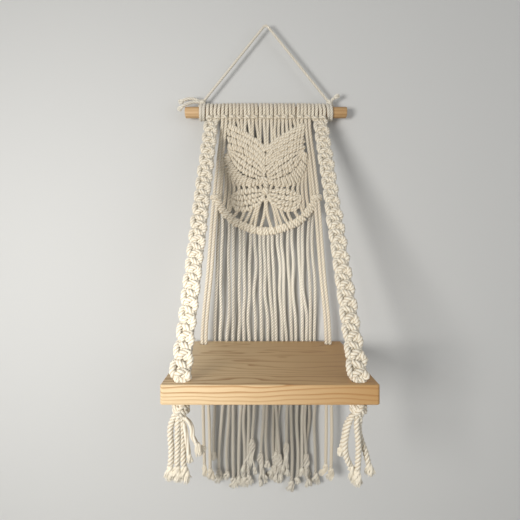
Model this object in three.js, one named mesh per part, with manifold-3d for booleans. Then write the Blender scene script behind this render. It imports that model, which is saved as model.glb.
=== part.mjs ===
// A hanging rope shelf: a pine board on knotted cotton ropes, under a wooden dowel that hangs on a cord.
// Millimetres, +Z up, +X to the right seen from the front, -Y towards the viewer.
// The origin is the top of the inside of the hanging cord's bend, where the shelf's weight is carried.
// The dowel's axis lies straight below it, and the wall is just behind the board's back edge.

import * as THREE from 'three';
import { mergeVertices } from 'three/addons/utils/BufferGeometryUtils.js';
import Module from 'manifold-3d';

const wasm = await Module();
wasm.setup();

// Rope
const ropeDiameter = 5; // hanging free
const wrapDiameter = 4.8; // the same rope pulled tight round the dowel
const wrapPitch = 5.4; // from one tight wrap to the next along the dowel
const touchGap = 0.3; // left between pieces that touch
const ropeSides = 8;
const wrapSides = 6;

// Hanging cord
const hangerDiameter = 4;
const hangingBend = 4; // across the inside of the cord's bend at its top
const dowelDrop = 125; // from the origin down to the dowel's axis

// Dowel
const dowelDiameter = 16;
const dowelLength = 235;
const dowelChamfer = 1;
const dowelSides = 28;

// Board
const boardWidth = 220;
const boardDepth = 180;
const boardThickness = 20;
const boardCornerRadius = 2.5;
const boardBevel = 0.8;
const boardBelowDowel = 335.5; // from the dowel's axis down to the top of the board
const boardBehindDowel = 5; // how far the board's back edge lies behind the dowel's axis
const frontHoleDiameter = 14;
const frontHoleFromSide = 18.7;
const frontHoleFromFront = 13;
const rearHoleDiameter = 11.8;
const rearHoleFromSide = 21;
const rearHoleFromBack = 15;

// Knotted panel between the dowel and the border
const panelHeads = 5; // lark's heads on each side of the middle
const sinnetHeads = 2;
const panelProud = 0.5; // from the front of the dowel to the panel's middle plane
const panelThickness = 7;
const panelHalfWidth = 56;
const panelHeight = 160; // from under the lark's heads to the middle of the border at its lowest
const panelGap = 0.5; // upright gap between one knotted field and the next
const borderRadius = 78.5;
const borderHeight = 10.5;
const supportAtBorderX = 72.5; // from the middle to a support cord where the border is tied to it
const borderKnots = 40; // half hitches along the border, two for each fringe strand
const borderSeam = 0.8; // how deep the seams between the hitches are
const bindingWall = 1.2; // wall of the binding that ties the border's end to the support cord
const bindingHeight = 9;

// Square-knot sinnets from the dowel to the front of the board
const sinnetKnots = 18;
const sinnetWidth = 20.5;
const sinnetWaist = 16.6;
const sinnetThickness = 14;
const sinnetWaistThickness = 11.6;
const sinnetStartDrop = 18; // from the dowel's axis to the first square knot
const sinnetStartX = 78; // from the middle to the first square knot
const sinnetNeckClear = 4; // from the last knot's foot to the board

// Knots under the board and what hangs from them
const frontKnotWidth = 20;
const frontKnotDepth = 17;
const frontKnotHeight = 15.5;
const tasselRopes = 4;
const rearKnotWidth = 17;
const rearKnotDepth = 13;
const rearKnotHeight = 12;
const rearTailFall = 172; // from the bottom of the board to the ends of the support cord

// Fringe
const fringeStrands = 20;
const fringeHalfWidth = 75.8;
const fringeFall = 205.7; // from the bottom of the board to the longest end

// Colours
const ropeColour = 0xe8dec4;
const darkerRopeColour = 0xdccfb0;
const cordColour = 0xf0ece0;
const boardColour = 0xd9b98a;
const dowelColour = 0xc99a5e;

// Worked out from the sizes above
const ropeRadius = ropeDiameter / 2;
const wrapRadius = wrapDiameter / 2;
const hangerRadius = hangerDiameter / 2;
const dowelRadius = dowelDiameter / 2;
const headPitch = 2 * wrapPitch;
const strandSpread = ropeDiameter + touchGap; // between the two legs of one rope
const supportHeadX = (panelHeads + 1 / 2) * headPitch;
const sinnetHeadsX = (panelHeads + 1 + sinnetHeads / 2) * headPitch;
const headsHalfWidth = (panelHeads + 1 + sinnetHeads) * headPitch;
const panelY = -(dowelRadius + panelProud);
const panelBackY = panelY + panelThickness / 2;
const boardTopZ = -boardBelowDowel;
const boardBottomZ = boardTopZ - boardThickness;
const boardBackY = boardBehindDowel;
const frontHoleX = boardWidth / 2 - frontHoleFromSide;
const frontHoleY = boardBackY - boardDepth + frontHoleFromFront;
const rearHoleX = boardWidth / 2 - rearHoleFromSide;
const rearHoleY = boardBackY - rearHoleFromBack;

const degrees = THREE.MathUtils.degToRad;
const at = (x, y, z) => new THREE.Vector3(x, y, z);
const mixed = (from, to, share) => from.map((value, i) => THREE.MathUtils.lerp(value, to[i], share));

// Geometry helpers

/** A curve through hand-chosen points whose samples fall on the points themselves. */
class Route extends THREE.CatmullRomCurve3 {
  getUtoTmapping(u) {
    return u;
  }
}

/** Closed tube along a route, with one ring at each point. */
function tube(points, diameter, sides = ropeSides) {
  const section = new THREE.Shape();
  section.absarc(0, 0, diameter / 2, 0, 2 * Math.PI);
  const outline = new THREE.Shape(section.getSpacedPoints(sides).slice(0, sides));
  const path = new Route(points);
  return new THREE.ExtrudeGeometry(outline, { extrudePath: path, steps: points.length - 1 });
}

/** Area vector of a ring of points, which tells which way round it runs. */
function areaVector(ring) {
  const sum = at(0, 0, 0);
  ring.forEach((p, i) => sum.add(p.clone().cross(ring[(i + 1) % ring.length])));
  return sum;
}

/** Triangles that close a flat ring, facing along the given direction. */
function capFaces(ring, first, direction) {
  const normal = areaVector(ring).normalize();
  const across = ring[1].clone().sub(ring[0]).normalize();
  const up = normal.clone().cross(across);
  const flat = ring.map((p) => new THREE.Vector2(p.dot(across), p.dot(up)));
  const triangles = THREE.ShapeUtils.triangulateShape(flat, []);
  const facing = triangles.reduce((sum, [a, b, c]) => {
    const turn = ring[b].clone().sub(ring[a]).cross(ring[c].clone().sub(ring[a]));
    return sum + turn.dot(direction);
  }, 0);
  return triangles.flatMap(([a, b, c]) => (facing > 0 ? [a, b, c] : [a, c, b]).map((i) => first + i));
}

/** Closed body through a list of rings with equal numbers of points, closed by a flat cap at each end. */
function loft(rings) {
  const centre = (ring) => ring.reduce((sum, p) => sum.add(p), at(0, 0, 0)).divideScalar(ring.length);
  const last = rings.length - 1;
  const startWay = centre(rings[1]).sub(centre(rings[0]));
  const endWay = centre(rings[last]).sub(centre(rings[last - 1]));
  const ordered = areaVector(rings[0]).dot(startWay) < 0 ? rings.map((r) => [...r].reverse()) : rings;
  const count = ordered[0].length;
  const faces = [];
  for (let r = 0; r < last; r++) {
    for (let i = 0; i < count; i++) {
      const a = r * count + i;
      const b = r * count + ((i + 1) % count);
      faces.push(a, b, b + count, a, b + count, a + count);
    }
  }
  faces.push(...capFaces(ordered[0], 0, startWay.clone().negate()));
  faces.push(...capFaces(ordered[last], last * count, endWay));
  const geometry = new THREE.BufferGeometry();
  const positions = ordered.flat().flatMap((p) => p.toArray());
  geometry.setAttribute('position', new THREE.Float32BufferAttribute(positions, 3));
  geometry.setIndex(faces);
  return geometry;
}

const roundShare = 1; // shape of a level ring: 1 is an ellipse, and less is squarer
const softShare = 0.85;
const boxyShare = 0.75;

/** Ring in a level plane, between an ellipse and a rounded box. */
function levelRing(x, y, z, halfWidth, halfDepth, count, fullness = softShare) {
  return Array.from({ length: count }, (_, i) => {
    const angle = ((i + 1 / 2) / count) * 2 * Math.PI;
    const shape = (value) => Math.sign(value) * Math.abs(value) ** fullness;
    return at(x + halfWidth * shape(Math.cos(angle)), y + halfDepth * shape(Math.sin(angle)), z);
  });
}

const lumpSides = 10;
const lumpRows = 7;

/** Lump of a knot: a stretched sphere. */
function lump(x, y, z, width, depth, height) {
  const ball = new THREE.SphereGeometry(1 / 2, lumpSides, lumpRows);
  return ball.scale(width, depth, height).translate(x, y, z);
}

function toSolid(geometry) {
  const bare = new THREE.BufferGeometry();
  bare.setAttribute('position', geometry.getAttribute('position').clone());
  bare.setIndex(geometry.getIndex());
  const merged = mergeVertices(bare);
  const vertProperties = new Float32Array(merged.getAttribute('position').array);
  const triVerts = new Uint32Array(merged.getIndex().array);
  return new wasm.Manifold(new wasm.Mesh({ numProp: 3, vertProperties, triVerts }));
}

function toGeometry(body) {
  const { vertProperties, triVerts } = body.getMesh();
  const geometry = new THREE.BufferGeometry();
  geometry.setAttribute('position', new THREE.Float32BufferAttribute(vertProperties, 3));
  geometry.setIndex(Array.from(triVerts));
  return geometry;
}

const fuse = (...geometries) => toGeometry(geometries.map(toSolid).reduce((sum, part) => sum.add(part)));
const cut = (body, ...tools) =>
  toGeometry(tools.map(toSolid).reduce((rest, tool) => rest.subtract(tool), toSolid(body)));

/** Adds one named piece to a group. */
function piece(group, name, geometry, colour, roughness) {
  const material = new THREE.MeshStandardMaterial({ color: colour, roughness, metalness: 0 });
  const mesh = new THREE.Mesh(geometry, material);
  mesh.name = name;
  group.add(mesh);
  return mesh;
}

const woodRoughness = 0.65;
const ropeRoughness = 0.95;

// Groups: the hanger stays still, the curtain swings about the dowel's axis
const shelf = new THREE.Group();
const hanger = new THREE.Group();
const curtain = new THREE.Group();
curtain.position.z = -dowelDrop;
shelf.add(hanger, curtain);

// Dowel

function dowelGeometry() {
  const half = dowelLength / 2;
  const profile = [
    [0, -half],
    [dowelRadius - dowelChamfer, -half],
    [dowelRadius, -half + dowelChamfer],
    [dowelRadius, half - dowelChamfer],
    [dowelRadius - dowelChamfer, half],
    [0, half],
  ].map(([r, along]) => new THREE.Vector2(r, along));
  return new THREE.LatheGeometry(profile, dowelSides).rotateZ(Math.PI / 2);
}

piece(curtain, 'dowel', dowelGeometry(), dowelColour, woodRoughness);

// Board

function boardGeometry() {
  const halfWidth = boardWidth / 2 - boardBevel;
  const back = boardBackY - boardBevel;
  const front = boardBackY - boardDepth + boardBevel;
  const r = boardCornerRadius;
  const outline = new THREE.Shape();
  outline.absarc(halfWidth - r, back - r, r, 0, Math.PI / 2);
  outline.absarc(-halfWidth + r, back - r, r, Math.PI / 2, Math.PI);
  outline.absarc(-halfWidth + r, front + r, r, Math.PI, 1.5 * Math.PI);
  outline.absarc(halfWidth - r, front + r, r, 1.5 * Math.PI, 2 * Math.PI);
  for (const side of [-1, 1]) {
    const holes = [
      [frontHoleX, frontHoleY, frontHoleDiameter],
      [rearHoleX, rearHoleY, rearHoleDiameter],
    ];
    for (const [x, y, diameter] of holes) {
      const hole = new THREE.Path();
      hole.absarc(side * x, y, diameter / 2 + boardBevel, 0, 2 * Math.PI, true);
      outline.holes.push(hole);
    }
  }
  const slab = new THREE.ExtrudeGeometry(outline, {
    depth: boardThickness - 2 * boardBevel,
    bevelThickness: boardBevel,
    bevelSize: boardBevel,
    bevelSegments: 1,
    curveSegments: 6,
  });
  return slab.translate(0, 0, boardBottomZ + boardBevel);
}

piece(curtain, 'shelf_board', boardGeometry(), boardColour, woodRoughness);

// Lark's heads: each rope is folded, wrapped twice round the dowel and crossed by its own bar in front

const wrapStartAngle = -15; // degrees above the front of the dowel where a wrap comes out from behind its bar
const wrapEndAngle = 255;
const wrapSteps = 8;
const wrapStep = (wrapEndAngle - wrapStartAngle) / wrapSteps;
const wrapCentreRadius = (dowelRadius + touchGap + wrapRadius) / Math.cos(degrees(wrapStep / 2));
const barDropShare = 1.2; // of a wrap's radius, from under the dowel down to the bar
const barZ = -(dowelRadius + touchGap + barDropShare * wrapRadius);
const barY = -(dowelRadius + wrapDiameter);
const barBulgeShares = [1 / 3, 1 / 6]; // forward and up, of a wrap's radius, at the middle of the bar
const legsTopZ = barZ - ropeRadius - touchGap; // just under the bar

/** A point at an angle round the dowel, measured from its front over its top. */
function roundDowel(x, angle, radius) {
  return at(x, -radius * Math.cos(degrees(angle)), radius * Math.sin(degrees(angle)));
}

function larksHead(x) {
  const wrap = Array.from({ length: wrapSteps + 1 }, (_, i) =>
    roundDowel(-wrapPitch / 2, wrapStartAngle + i * wrapStep, wrapCentreRadius),
  );
  const left = [
    ...wrap,
    at(-wrapPitch / 2, -dowelRadius / 2, barZ),
    at(-wrapPitch / 2, barY, barZ),
  ];
  const right = [...left].reverse().map((p) => at(-p.x, p.y, p.z));
  const [forward, up] = barBulgeShares.map((share) => share * wrapRadius);
  const bar = at(0, barY - forward, barZ + up);
  return tube([...left, bar, ...right], wrapDiameter, wrapSides).translate(x, 0, 0);
}

// Edges of the knotted fields: the left half seen from the front, outermost point first.
// Each pair is a share of the panel's half width and a share of its height below the lark's heads.
const fieldTopShares = [[0.97, 0.022], [0.714, 0.066], [0.446, 0.122], [0.214, 0.178], [0.012, 0.241]];
const upperWingTopShares = [[0.975, 0.266], [0.768, 0.284], [0.53, 0.3175], [0.191, 0.404], [0.022, 0.483]];
const upperWingFootShares = [
  [0.966, 0.291], [0.9375, 0.3175], [0.78, 0.42], [0.598, 0.483], [0.371, 0.5156], [0.1, 0.531],
  [0.045, 0.5125],
];
const upperBandFootShares = [
  [1.06, 0.3156], [1.075, 0.357], [1.018, 0.452], [0.88, 0.547], [0.768, 0.5825], [0.611, 0.59],
  [0.3375, 0.6], [0.191, 0.59], [0.054, 0.575],
];
const lowerWingTopShares = [[0.905, 0.682], [0.6875, 0.634], [0.371, 0.6126], [0.054, 0.626]];
const lowerWingFootShares = [
  [0.897, 0.716], [0.78, 0.8156], [0.507, 0.827], [0.304, 0.8], [0.1, 0.737], [0.054, 0.709],
];
const panelTopZ = legsTopZ;

/** A smooth edge through shares of the panel's half width and height. */
function panelEdge(shares) {
  return new THREE.CatmullRomCurve3(
    shares.map(([out, down]) => at(out * panelHalfWidth, 0, panelTopZ - down * panelHeight)),
  );
}

const fieldTop = panelEdge(fieldTopShares);
const upperWingTop = panelEdge(upperWingTopShares);
const upperWingFoot = panelEdge(upperWingFootShares);
const upperBandFoot = panelEdge(upperBandFootShares);
const lowerWingTop = panelEdge(lowerWingTopShares);
const lowerWingFoot = panelEdge(lowerWingFootShares);

/** Height of an edge at a distance from the middle, for an edge that runs steadily inwards. */
function edgeHeight(edge, x) {
  let [outer, inner] = [0, 1];
  for (let i = 0; i < 30; i++) {
    const middle = (outer + inner) / 2;
    if (edge.getPoint(middle).x > x) outer = middle;
    else inner = middle;
  }
  return edge.getPoint(inner).z;
}

for (const [side, word] of [[-1, 'left'], [1, 'right']]) {
  for (let i = 0; i < panelHeads; i++) {
    const x = side * (i + 1 / 2) * headPitch;
    const legs = [-1, 1].map((way) => {
      const legX = x + way * (strandSpread / 2);
      const footZ = edgeHeight(fieldTop, Math.abs(legX) + ropeRadius) + touchGap;
      return tube([at(legX, panelY, barZ), at(legX, panelY, footZ)], ropeDiameter, wrapSides);
    });
    piece(curtain, `larks_head_${word}_${i + 1}`, fuse(larksHead(x), ...legs), ropeColour, ropeRoughness);
  }
}

// Knotted fields of the panel: rows of half hitches that run along each field

const fieldSteps = 8;
const seamShare = 0.6; // of the panel's thickness, in the seam between two rows

/** A field between two edges, with raised rows along it, on one side of the middle. */
function knottedField(top, foot, rows, side) {
  const across = 2 * rows;
  const rings = Array.from({ length: fieldSteps + 1 }, (_, s) => {
    const a = top.getPoint(s / fieldSteps);
    const b = foot.getPoint(s / fieldSteps);
    const inset = panelGap / 2;
    a.z -= inset;
    b.z += inset;
    const front = Array.from({ length: across + 1 }, (_, i) => {
      const heightShare = i % 2 ? 1 : seamShare;
      const point = a.clone().lerp(b, i / across);
      return at(side * point.x, panelY - (heightShare * panelThickness) / 2, point.z);
    });
    const back = [b, a].map((point) => at(side * point.x, panelBackY, point.z));
    return [...front, ...back];
  });
  return loft(rings);
}

const fields = [
  ['hitched_field', fieldTop, upperWingTop, 4],
  ['upper_wing', upperWingTop, upperWingFoot, 3],
  ['upper_wing_rib', upperWingFoot, upperBandFoot, 1],
  ['lower_wing', lowerWingTop, lowerWingFoot, 4],
];
for (const [side, word] of [[-1, 'left'], [1, 'right']]) {
  for (const [name, top, foot, rows] of fields) {
    const field = knottedField(top, foot, rows, side);
    piece(curtain, `${name}_${word}`, field, ropeColour, ropeRoughness);
  }
}

// Body of the butterfly: shares of the panel's height down it, and its half width in shares of its widest
const bodyShares = [
  [0.522, 0.35], [0.545, 0.5], [0.575, 0.6], [0.6, 1], [0.622, 0.62], [0.66, 0.6], [0.7, 0.55], [0.725, 0.35],
];
const bodyHalfWidth = 4;
const bodyDepth = 8;
const bodySides = 10;
piece(
  curtain,
  'butterfly_body',
  loft(
    bodyShares.map(([down, width]) =>
      levelRing(
        0,
        panelBackY - bodyDepth / 2,
        panelTopZ - down * panelHeight,
        width * bodyHalfWidth,
        bodyDepth / 2,
        bodySides,
      ),
    ),
  ),
  ropeColour,
  ropeRoughness,
);

// Support cords: one rope on each side, from its lark's head through the board's rear hole to its tails

const borderCentreZ = panelTopZ - panelHeight + borderRadius;
const borderHalfAngle = Math.asin(supportAtBorderX / borderRadius);
const borderEndZ = borderCentreZ - borderRadius * Math.cos(borderHalfAngle);
const supportFootZ = boardTopZ + ropeRadius; // below this the legs run straight down through the board

/** Middle of a support cord's two legs at a height, on the side given by -1 or 1. */
function supportAt(side, z) {
  const [x, y] =
    z > borderEndZ
      ? mixed([supportHeadX, panelY], [supportAtBorderX, panelY], (barZ - z) / (barZ - borderEndZ))
      : mixed(
          [supportAtBorderX, panelY],
          [rearHoleX, rearHoleY],
          Math.min((borderEndZ - z) / (borderEndZ - supportFootZ), 1),
        );
  return at(side * x, y, z);
}

// Where each tail ends: sideways shares of the spread of the two legs, and shares of the tails' fall
const leftRearTailShares = [[-0.55, 1], [0.75, 1.035]];
const rightRearTailShares = [[-1.5, 0.995], [-0.2, 1.03]];

function supportLeg(side, way, [swayShare, fallShare], diameter) {
  const shift = way * (strandSpread / 2);
  const stops = [barZ, borderEndZ, supportFootZ, boardTopZ, boardBottomZ - rearKnotHeight];
  const upper = stops.map((z) => supportAt(side, z).add(at(shift, 0, 0)));
  const endZ = boardBottomZ - rearTailFall * fallShare;
  const middleZ = (boardBottomZ - rearKnotHeight + endZ) / 2;
  const last = upper[upper.length - 1];
  const sway = swayShare * strandSpread;
  return tube([...upper, at(last.x, last.y, middleZ), at(last.x + sway, last.y, endZ)], diameter);
}

function supportCord(side, tailShares) {
  const legs = [-1, 1].map((way, i) => supportLeg(side, way, tailShares[i], ropeDiameter));
  const knotZ = boardBottomZ - touchGap - rearKnotHeight / 2;
  const knot = lump(side * rearHoleX, rearHoleY, knotZ, rearKnotWidth, rearKnotDepth, rearKnotHeight);
  return fuse(larksHead(side * supportHeadX), ...legs, knot);
}

const supportCordLeft = supportCord(-1, leftRearTailShares);
const supportCordRight = supportCord(1, rightRearTailShares);
piece(curtain, 'support_cord_left', supportCordLeft, ropeColour, ropeRoughness);
piece(curtain, 'support_cord_right', supportCordRight, ropeColour, ropeRoughness);

// Border under the wings: a band of half hitches, bound to the two support cords at its ends

const borderStepsPerKnot = 2;
const borderSides = 8;

function borderBand() {
  const steps = borderKnots * borderStepsPerKnot;
  const rings = Array.from({ length: steps + 1 }, (_, s) => {
    const angle = borderHalfAngle * ((2 * s) / steps - 1);
    const out = at(Math.sin(angle), 0, -Math.cos(angle));
    const middle = out.clone().multiplyScalar(borderRadius).add(at(0, panelY, borderCentreZ));
    const shrink = s % borderStepsPerKnot ? 0 : borderSeam;
    return Array.from({ length: borderSides }, (_, i) => {
      const turn = ((i + 1 / 2) / borderSides) * 2 * Math.PI;
      const along = out.clone().multiplyScalar(Math.cos(turn) * (borderHeight / 2 - shrink));
      const depth = at(0, Math.sin(turn) * (panelThickness / 2 - shrink / 2), 0);
      return middle.clone().add(along).add(depth);
    });
  });
  return loft(rings);
}

const bindingSides = 14;

/** Ring of cord round both legs of a support cord, where the border's end is tied. */
function binding(side) {
  const reach = ropeRadius + touchGap + bindingWall;
  const rings = [-1, 1].map((way) => {
    const z = borderEndZ + (way * bindingHeight) / 2;
    const { x, y } = supportAt(side, z);
    return levelRing(x, y, z, strandSpread / 2 + reach, reach, bindingSides, boxyShare);
  });
  return loft(rings);
}

function border() {
  const passages = [-1, 1].flatMap((side) =>
    [-1, 1].map((way) => {
      const stops = [borderEndZ + 2 * bindingHeight, borderEndZ, borderEndZ - 2 * bindingHeight];
      const points = stops.map((z) => supportAt(side, z).add(at(way * (strandSpread / 2), 0, 0)));
      return tube(points, ropeDiameter + 2 * touchGap);
    }),
  );
  return cut(fuse(borderBand(), binding(-1), binding(1)), ...passages);
}

piece(curtain, 'border', border(), ropeColour, ropeRoughness);

// Sinnets: two lark's heads knotted into a chain of square knots that ends in a stopper knot under the board

const sinnetRingCount = 10;
// Places in a knot, and how far it swells there
const knotPhaseShares = [[0, 0], [0.22, 0.85], [0.5, 1], [0.78, 0.85]];

function sinnetMiddle(side, z) {
  const top = at(sinnetStartX, panelY, -sinnetStartDrop);
  const foot = at(frontHoleX, frontHoleY, boardTopZ + sinnetNeckClear);
  const share = THREE.MathUtils.clamp((top.z - z) / (top.z - foot.z), 0, 1);
  const point = top.lerp(foot, share);
  return at(side * point.x, point.y, z);
}

function sinnetChain(side) {
  const ring = (z, halfWidth, halfDepth, fullness) => {
    const { x, y } = sinnetMiddle(side, z);
    return levelRing(x, y, z, halfWidth, halfDepth, sinnetRingCount, fullness);
  };
  const topZ = -sinnetStartDrop;
  const footZ = boardTopZ + sinnetNeckClear;
  const lean = Math.atan((panelY - frontHoleY) / (topZ - footZ));
  const swell = (share) => [
    THREE.MathUtils.lerp(sinnetWaist, sinnetWidth, share) / 2,
    THREE.MathUtils.lerp(sinnetWaistThickness, sinnetThickness, share) / 2 / Math.cos(lean),
  ];
  const gathered = levelRing(
    side * sinnetHeadsX,
    panelY,
    barZ,
    sinnetHeads * strandSpread,
    ropeRadius,
    sinnetRingCount,
  );
  const rings = [gathered];
  for (let knot = 0; knot < sinnetKnots; knot++) {
    for (const [place, swellShare] of knotPhaseShares) {
      rings.push(ring(topZ + ((footZ - topZ) * (knot + place)) / sinnetKnots, ...swell(swellShare)));
    }
  }
  const neck = frontHoleDiameter / 2 - touchGap;
  rings.push(ring(footZ, neck, neck, roundShare));
  rings.push(ring(boardTopZ + sinnetNeckClear / 2, neck, neck, roundShare));
  rings.push(ring(boardBottomZ - frontKnotHeight / 2, neck, neck, roundShare));
  return loft(rings);
}

// The stopper knot's outline: shares of its height down it, and shares of its width and depth
const frontKnotShares = [[0.02, 0.82], [0.25, 1], [0.65, 0.98], [0.88, 0.82], [1, 0.55]];

function frontKnot(side) {
  const rings = frontKnotShares.map(([down, swell]) =>
    levelRing(
      side * frontHoleX,
      frontHoleY,
      boardBottomZ - touchGap - down * frontKnotHeight,
      (swell * frontKnotWidth) / 2,
      (swell * frontKnotDepth) / 2,
      sinnetRingCount,
    ),
  );
  return loft(rings);
}

function sinnet(side) {
  const heads = Array.from({ length: sinnetHeads }, (_, i) =>
    larksHead(side * (panelHeads + 1 + i + 1 / 2) * headPitch),
  );
  return fuse(...heads, sinnetChain(side), frontKnot(side));
}

for (const [side, word] of [[-1, 'left'], [1, 'right']]) {
  piece(curtain, `sinnet_${word}`, sinnet(side), ropeColour, ropeRoughness);
}

// Fringe: each strand leaves the panel behind the wings, passes behind the border and hangs behind the board.
// Shares of the fringe's half width, at the board, halfway down and at the end, then of the fall at the end.
const fringeShares = [
  [-1.0, -0.987, -1.009, 0.775],
  [-0.894, -0.871, -0.917, 0.936],
  [-0.763, -0.745, -0.759, 0.91],
  [-0.641, -0.637, -0.629, 0.973],
  [-0.528, -0.528, -0.53, 0.954],
  [-0.43, -0.435, -0.438, 0.96],
  [-0.326, -0.336, -0.328, 0.954],
  [-0.203, -0.251, -0.218, 0.874],
  [-0.082, -0.071, -0.046, 0.937],
  [0.016, 0.018, 0.033, 0.834],
  [0.108, 0.106, 0.108, 0.89],
  [0.203, 0.206, 0.2, 0.947],
  [0.313, 0.284, 0.28, 0.88],
  [0.4, 0.396, 0.369, 0.868],
  [0.504, 0.495, 0.487, 1.0],
  [0.588, 0.594, 0.612, 0.944],
  [0.712, 0.712, 0.698, 0.887],
  [0.794, 0.797, 0.792, 0.95],
  [0.872, 0.871, 0.868, 0.834],
  [0.95, 0.95, 0.976, 0.947],
];
// Where a strand leaves the panel, outermost first: shares of the panel's half width and height.
const fringeRootShares = [[1.08, 0.4], [0.97, 0.453], [0.87, 0.51], [0.77, 0.547], [0.675, 0.56]];
const fringeRootShare = 0.56; // height of all the other strands' roots
// Where the strands of one half leave the border, in pairs from the middle outwards: shares of its radius
const fringeBorderShares = [0.041, 0.114, 0.21, 0.285, 0.406, 0.478, 0.607, 0.678, 0.8, 0.871];
const fringeY = panelBackY + touchGap + ropeRadius;
const fringeBehindBoardY = boardBackY + touchGap + ropeRadius;

function fringeStrand(index) {
  const fromMiddle = index - (fringeStrands - 1) / 2;
  const side = Math.sign(fromMiddle);
  const fromOutside = (fringeStrands - 1) / 2 - Math.abs(fromMiddle);
  const borderX = side * fringeBorderShares[Math.floor(Math.abs(fromMiddle))] * borderRadius;
  const borderZ = borderCentreZ - Math.sqrt(borderRadius ** 2 - borderX ** 2);
  const [outShare, downShare] = fringeRootShares[fromOutside] ?? [];
  const rootX = outShare ? side * outShare * panelHalfWidth : borderX;
  const rootZ = panelTopZ - (downShare ?? fringeRootShare) * panelHeight;
  const [hang, halfway, end, fall] = fringeShares[index];
  const endZ = boardBottomZ - fall * fringeFall;
  return tube(
    [
      at(rootX, fringeY, rootZ),
      at(borderX, fringeY, borderZ + borderHeight),
      at(borderX, fringeY, borderZ - borderHeight / 2),
      at(hang * fringeHalfWidth, fringeBehindBoardY, boardTopZ),
      at(hang * fringeHalfWidth, fringeBehindBoardY, boardBottomZ),
      at(halfway * fringeHalfWidth, fringeBehindBoardY, (boardBottomZ + endZ) / 2),
      at(end * fringeHalfWidth, fringeBehindBoardY, endZ),
    ],
    ropeDiameter,
  );
}

for (let i = 0; i < fringeStrands; i++) {
  piece(curtain, `fringe_strand_${i + 1}`, fringeStrand(i), darkerRopeColour, ropeRoughness);
}

// Tassels: the four rope ends under each stopper knot, side by side in the swing axis

const tasselPivotZ = boardBottomZ - touchGap - frontKnotHeight - touchGap - ropeRadius;
// Places down each rope: sideways and forward shares of the rope's diameter, shares of the tassel's length.
const tasselLength = 62;
const leftTasselShares = [
  [[-0.55, 0, 0.13], [-0.3, 0, 0.35], [-0.15, 0, 0.58], [-0.6, 0, 0.76], [-1.1, 0.1, 0.97]],
  [[0, 0, 0.3], [0, 0, 0.5], [-0.2, 0, 0.72], [-0.6, 0, 0.98]],
  [[0.05, 0, 0.3], [0.1, 0, 0.55], [0.25, 0, 0.78], [0.45, 0, 0.98]],
  [[0.5, -0.2, 0.13], [0.85, -0.35, 0.28], [1.5, -0.5, 0.52]],
];
const rightTasselShares = [
  [[-0.85, 0.4, 0.13], [-1.5, 0.6, 0.3], [-1.95, 0.6, 0.45], [-2.1, 0.6, 0.57]],
  [[-0.95, -0.55, 0.13], [-1.75, -0.6, 0.3], [-1.7, -0.55, 0.5], [-1.15, -0.2, 0.7], [-0.7, 0.25, 0.9]],
  [[-0.75, -0.3, 0.16], [-0.5, -0.5, 0.36], [-0.65, -0.5, 0.6], [-0.7, -0.6, 0.8], [-1, -0.6, 1.03]],
  [[-0.5, 0.4, 0.16], [-0.6, 0.5, 0.36], [-0.35, 0.5, 0.55], [0.1, 0.4, 0.72], [0.6, 0.4, 0.91]],
];

// The rounded top end of a tassel's rope: shares of its radius, sideways and up
const domeShares = [[0.3, 0.9], [0.75, 0.62]];

/** Rope that hangs from a rounded top end, centred on the swing axis. */
function tasselRope(startX, shares) {
  const place = ([sideways, back, down]) =>
    at(startX + sideways * ropeDiameter, back * ropeDiameter, -down * tasselLength);
  const points = [at(startX, 0, 0), ...shares.map(place)];
  const ring = ({ x, y, z }, radius) => levelRing(x, y, z, radius, radius, ropeSides, roundShare);
  const dome = domeShares.map(([swell, rise]) => ring(at(startX, 0, rise * ropeRadius), swell * ropeRadius));
  const body = points.map((point) => ring(point, ropeRadius));
  return loft([...dome, ...body]);
}

for (const [side, word, tasselShares] of [[-1, 'left', leftTasselShares], [1, 'right', rightTasselShares]]) {
  const tassel = new THREE.Group();
  tassel.position.set(side * frontHoleX, frontHoleY, tasselPivotZ);
  curtain.add(tassel);
  for (let i = 0; i < tasselRopes; i++) {
    const startX = (i - (tasselRopes - 1) / 2) * strandSpread;
    const rope = tasselRope(startX, tasselShares[i]);
    piece(tassel, `tassel_rope_${word}_${i + 1}`, rope, ropeColour, ropeRoughness);
  }
}

// Hanger: the cord with the bend that it hangs by, and the hitches that hold it on the dowel

const hitchTurns = 2;
const hitchStepsPerTurn = 9;
const hitchPitch = hangerDiameter + touchGap;
const hitchX = headsHalfWidth + touchGap / 2 + hangerRadius;
const hitchRadius =
  (dowelRadius + touchGap + hangerRadius) / Math.cos(Math.PI / hitchStepsPerTurn);
const hangerKnotWidth = 11;
const hangerKnotDepth = 9;
const hangerKnotHeight = 8.5;
const hangerKnotX = hitchX + hitchPitch;
const hangerKnotRiseShare = 1 / 4; // of the knot's height, from the top of the hitch to the knot's middle
const hangerKnotZ = hitchRadius + hangerRadius + hangerKnotRiseShare * hangerKnotHeight;

// Tails of the hanging cord's knots: routes along the dowel's end, in shares of the cord's diameter
// outwards and forwards from the knot, and upwards from the dowel's axis.
const leftHangerTailShares = [
  [[1, 0, 4.1], [3.6, -0.2, 5], [6, -0.5, 4.6], [7.9, -0.7, 3.5]],
  [[1, -0.6, 3.6], [3.2, -1.2, 3.3], [5.2, -2.0, 2.4], [6.6, -2.4, 1.5], [7.8, -2.4, 0.2]],
];
const rightHangerTailShares = [[[0.6, 0, 4.2], [1.8, -0.2, 5.2], [3, -0.3, 5.9]]];

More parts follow.
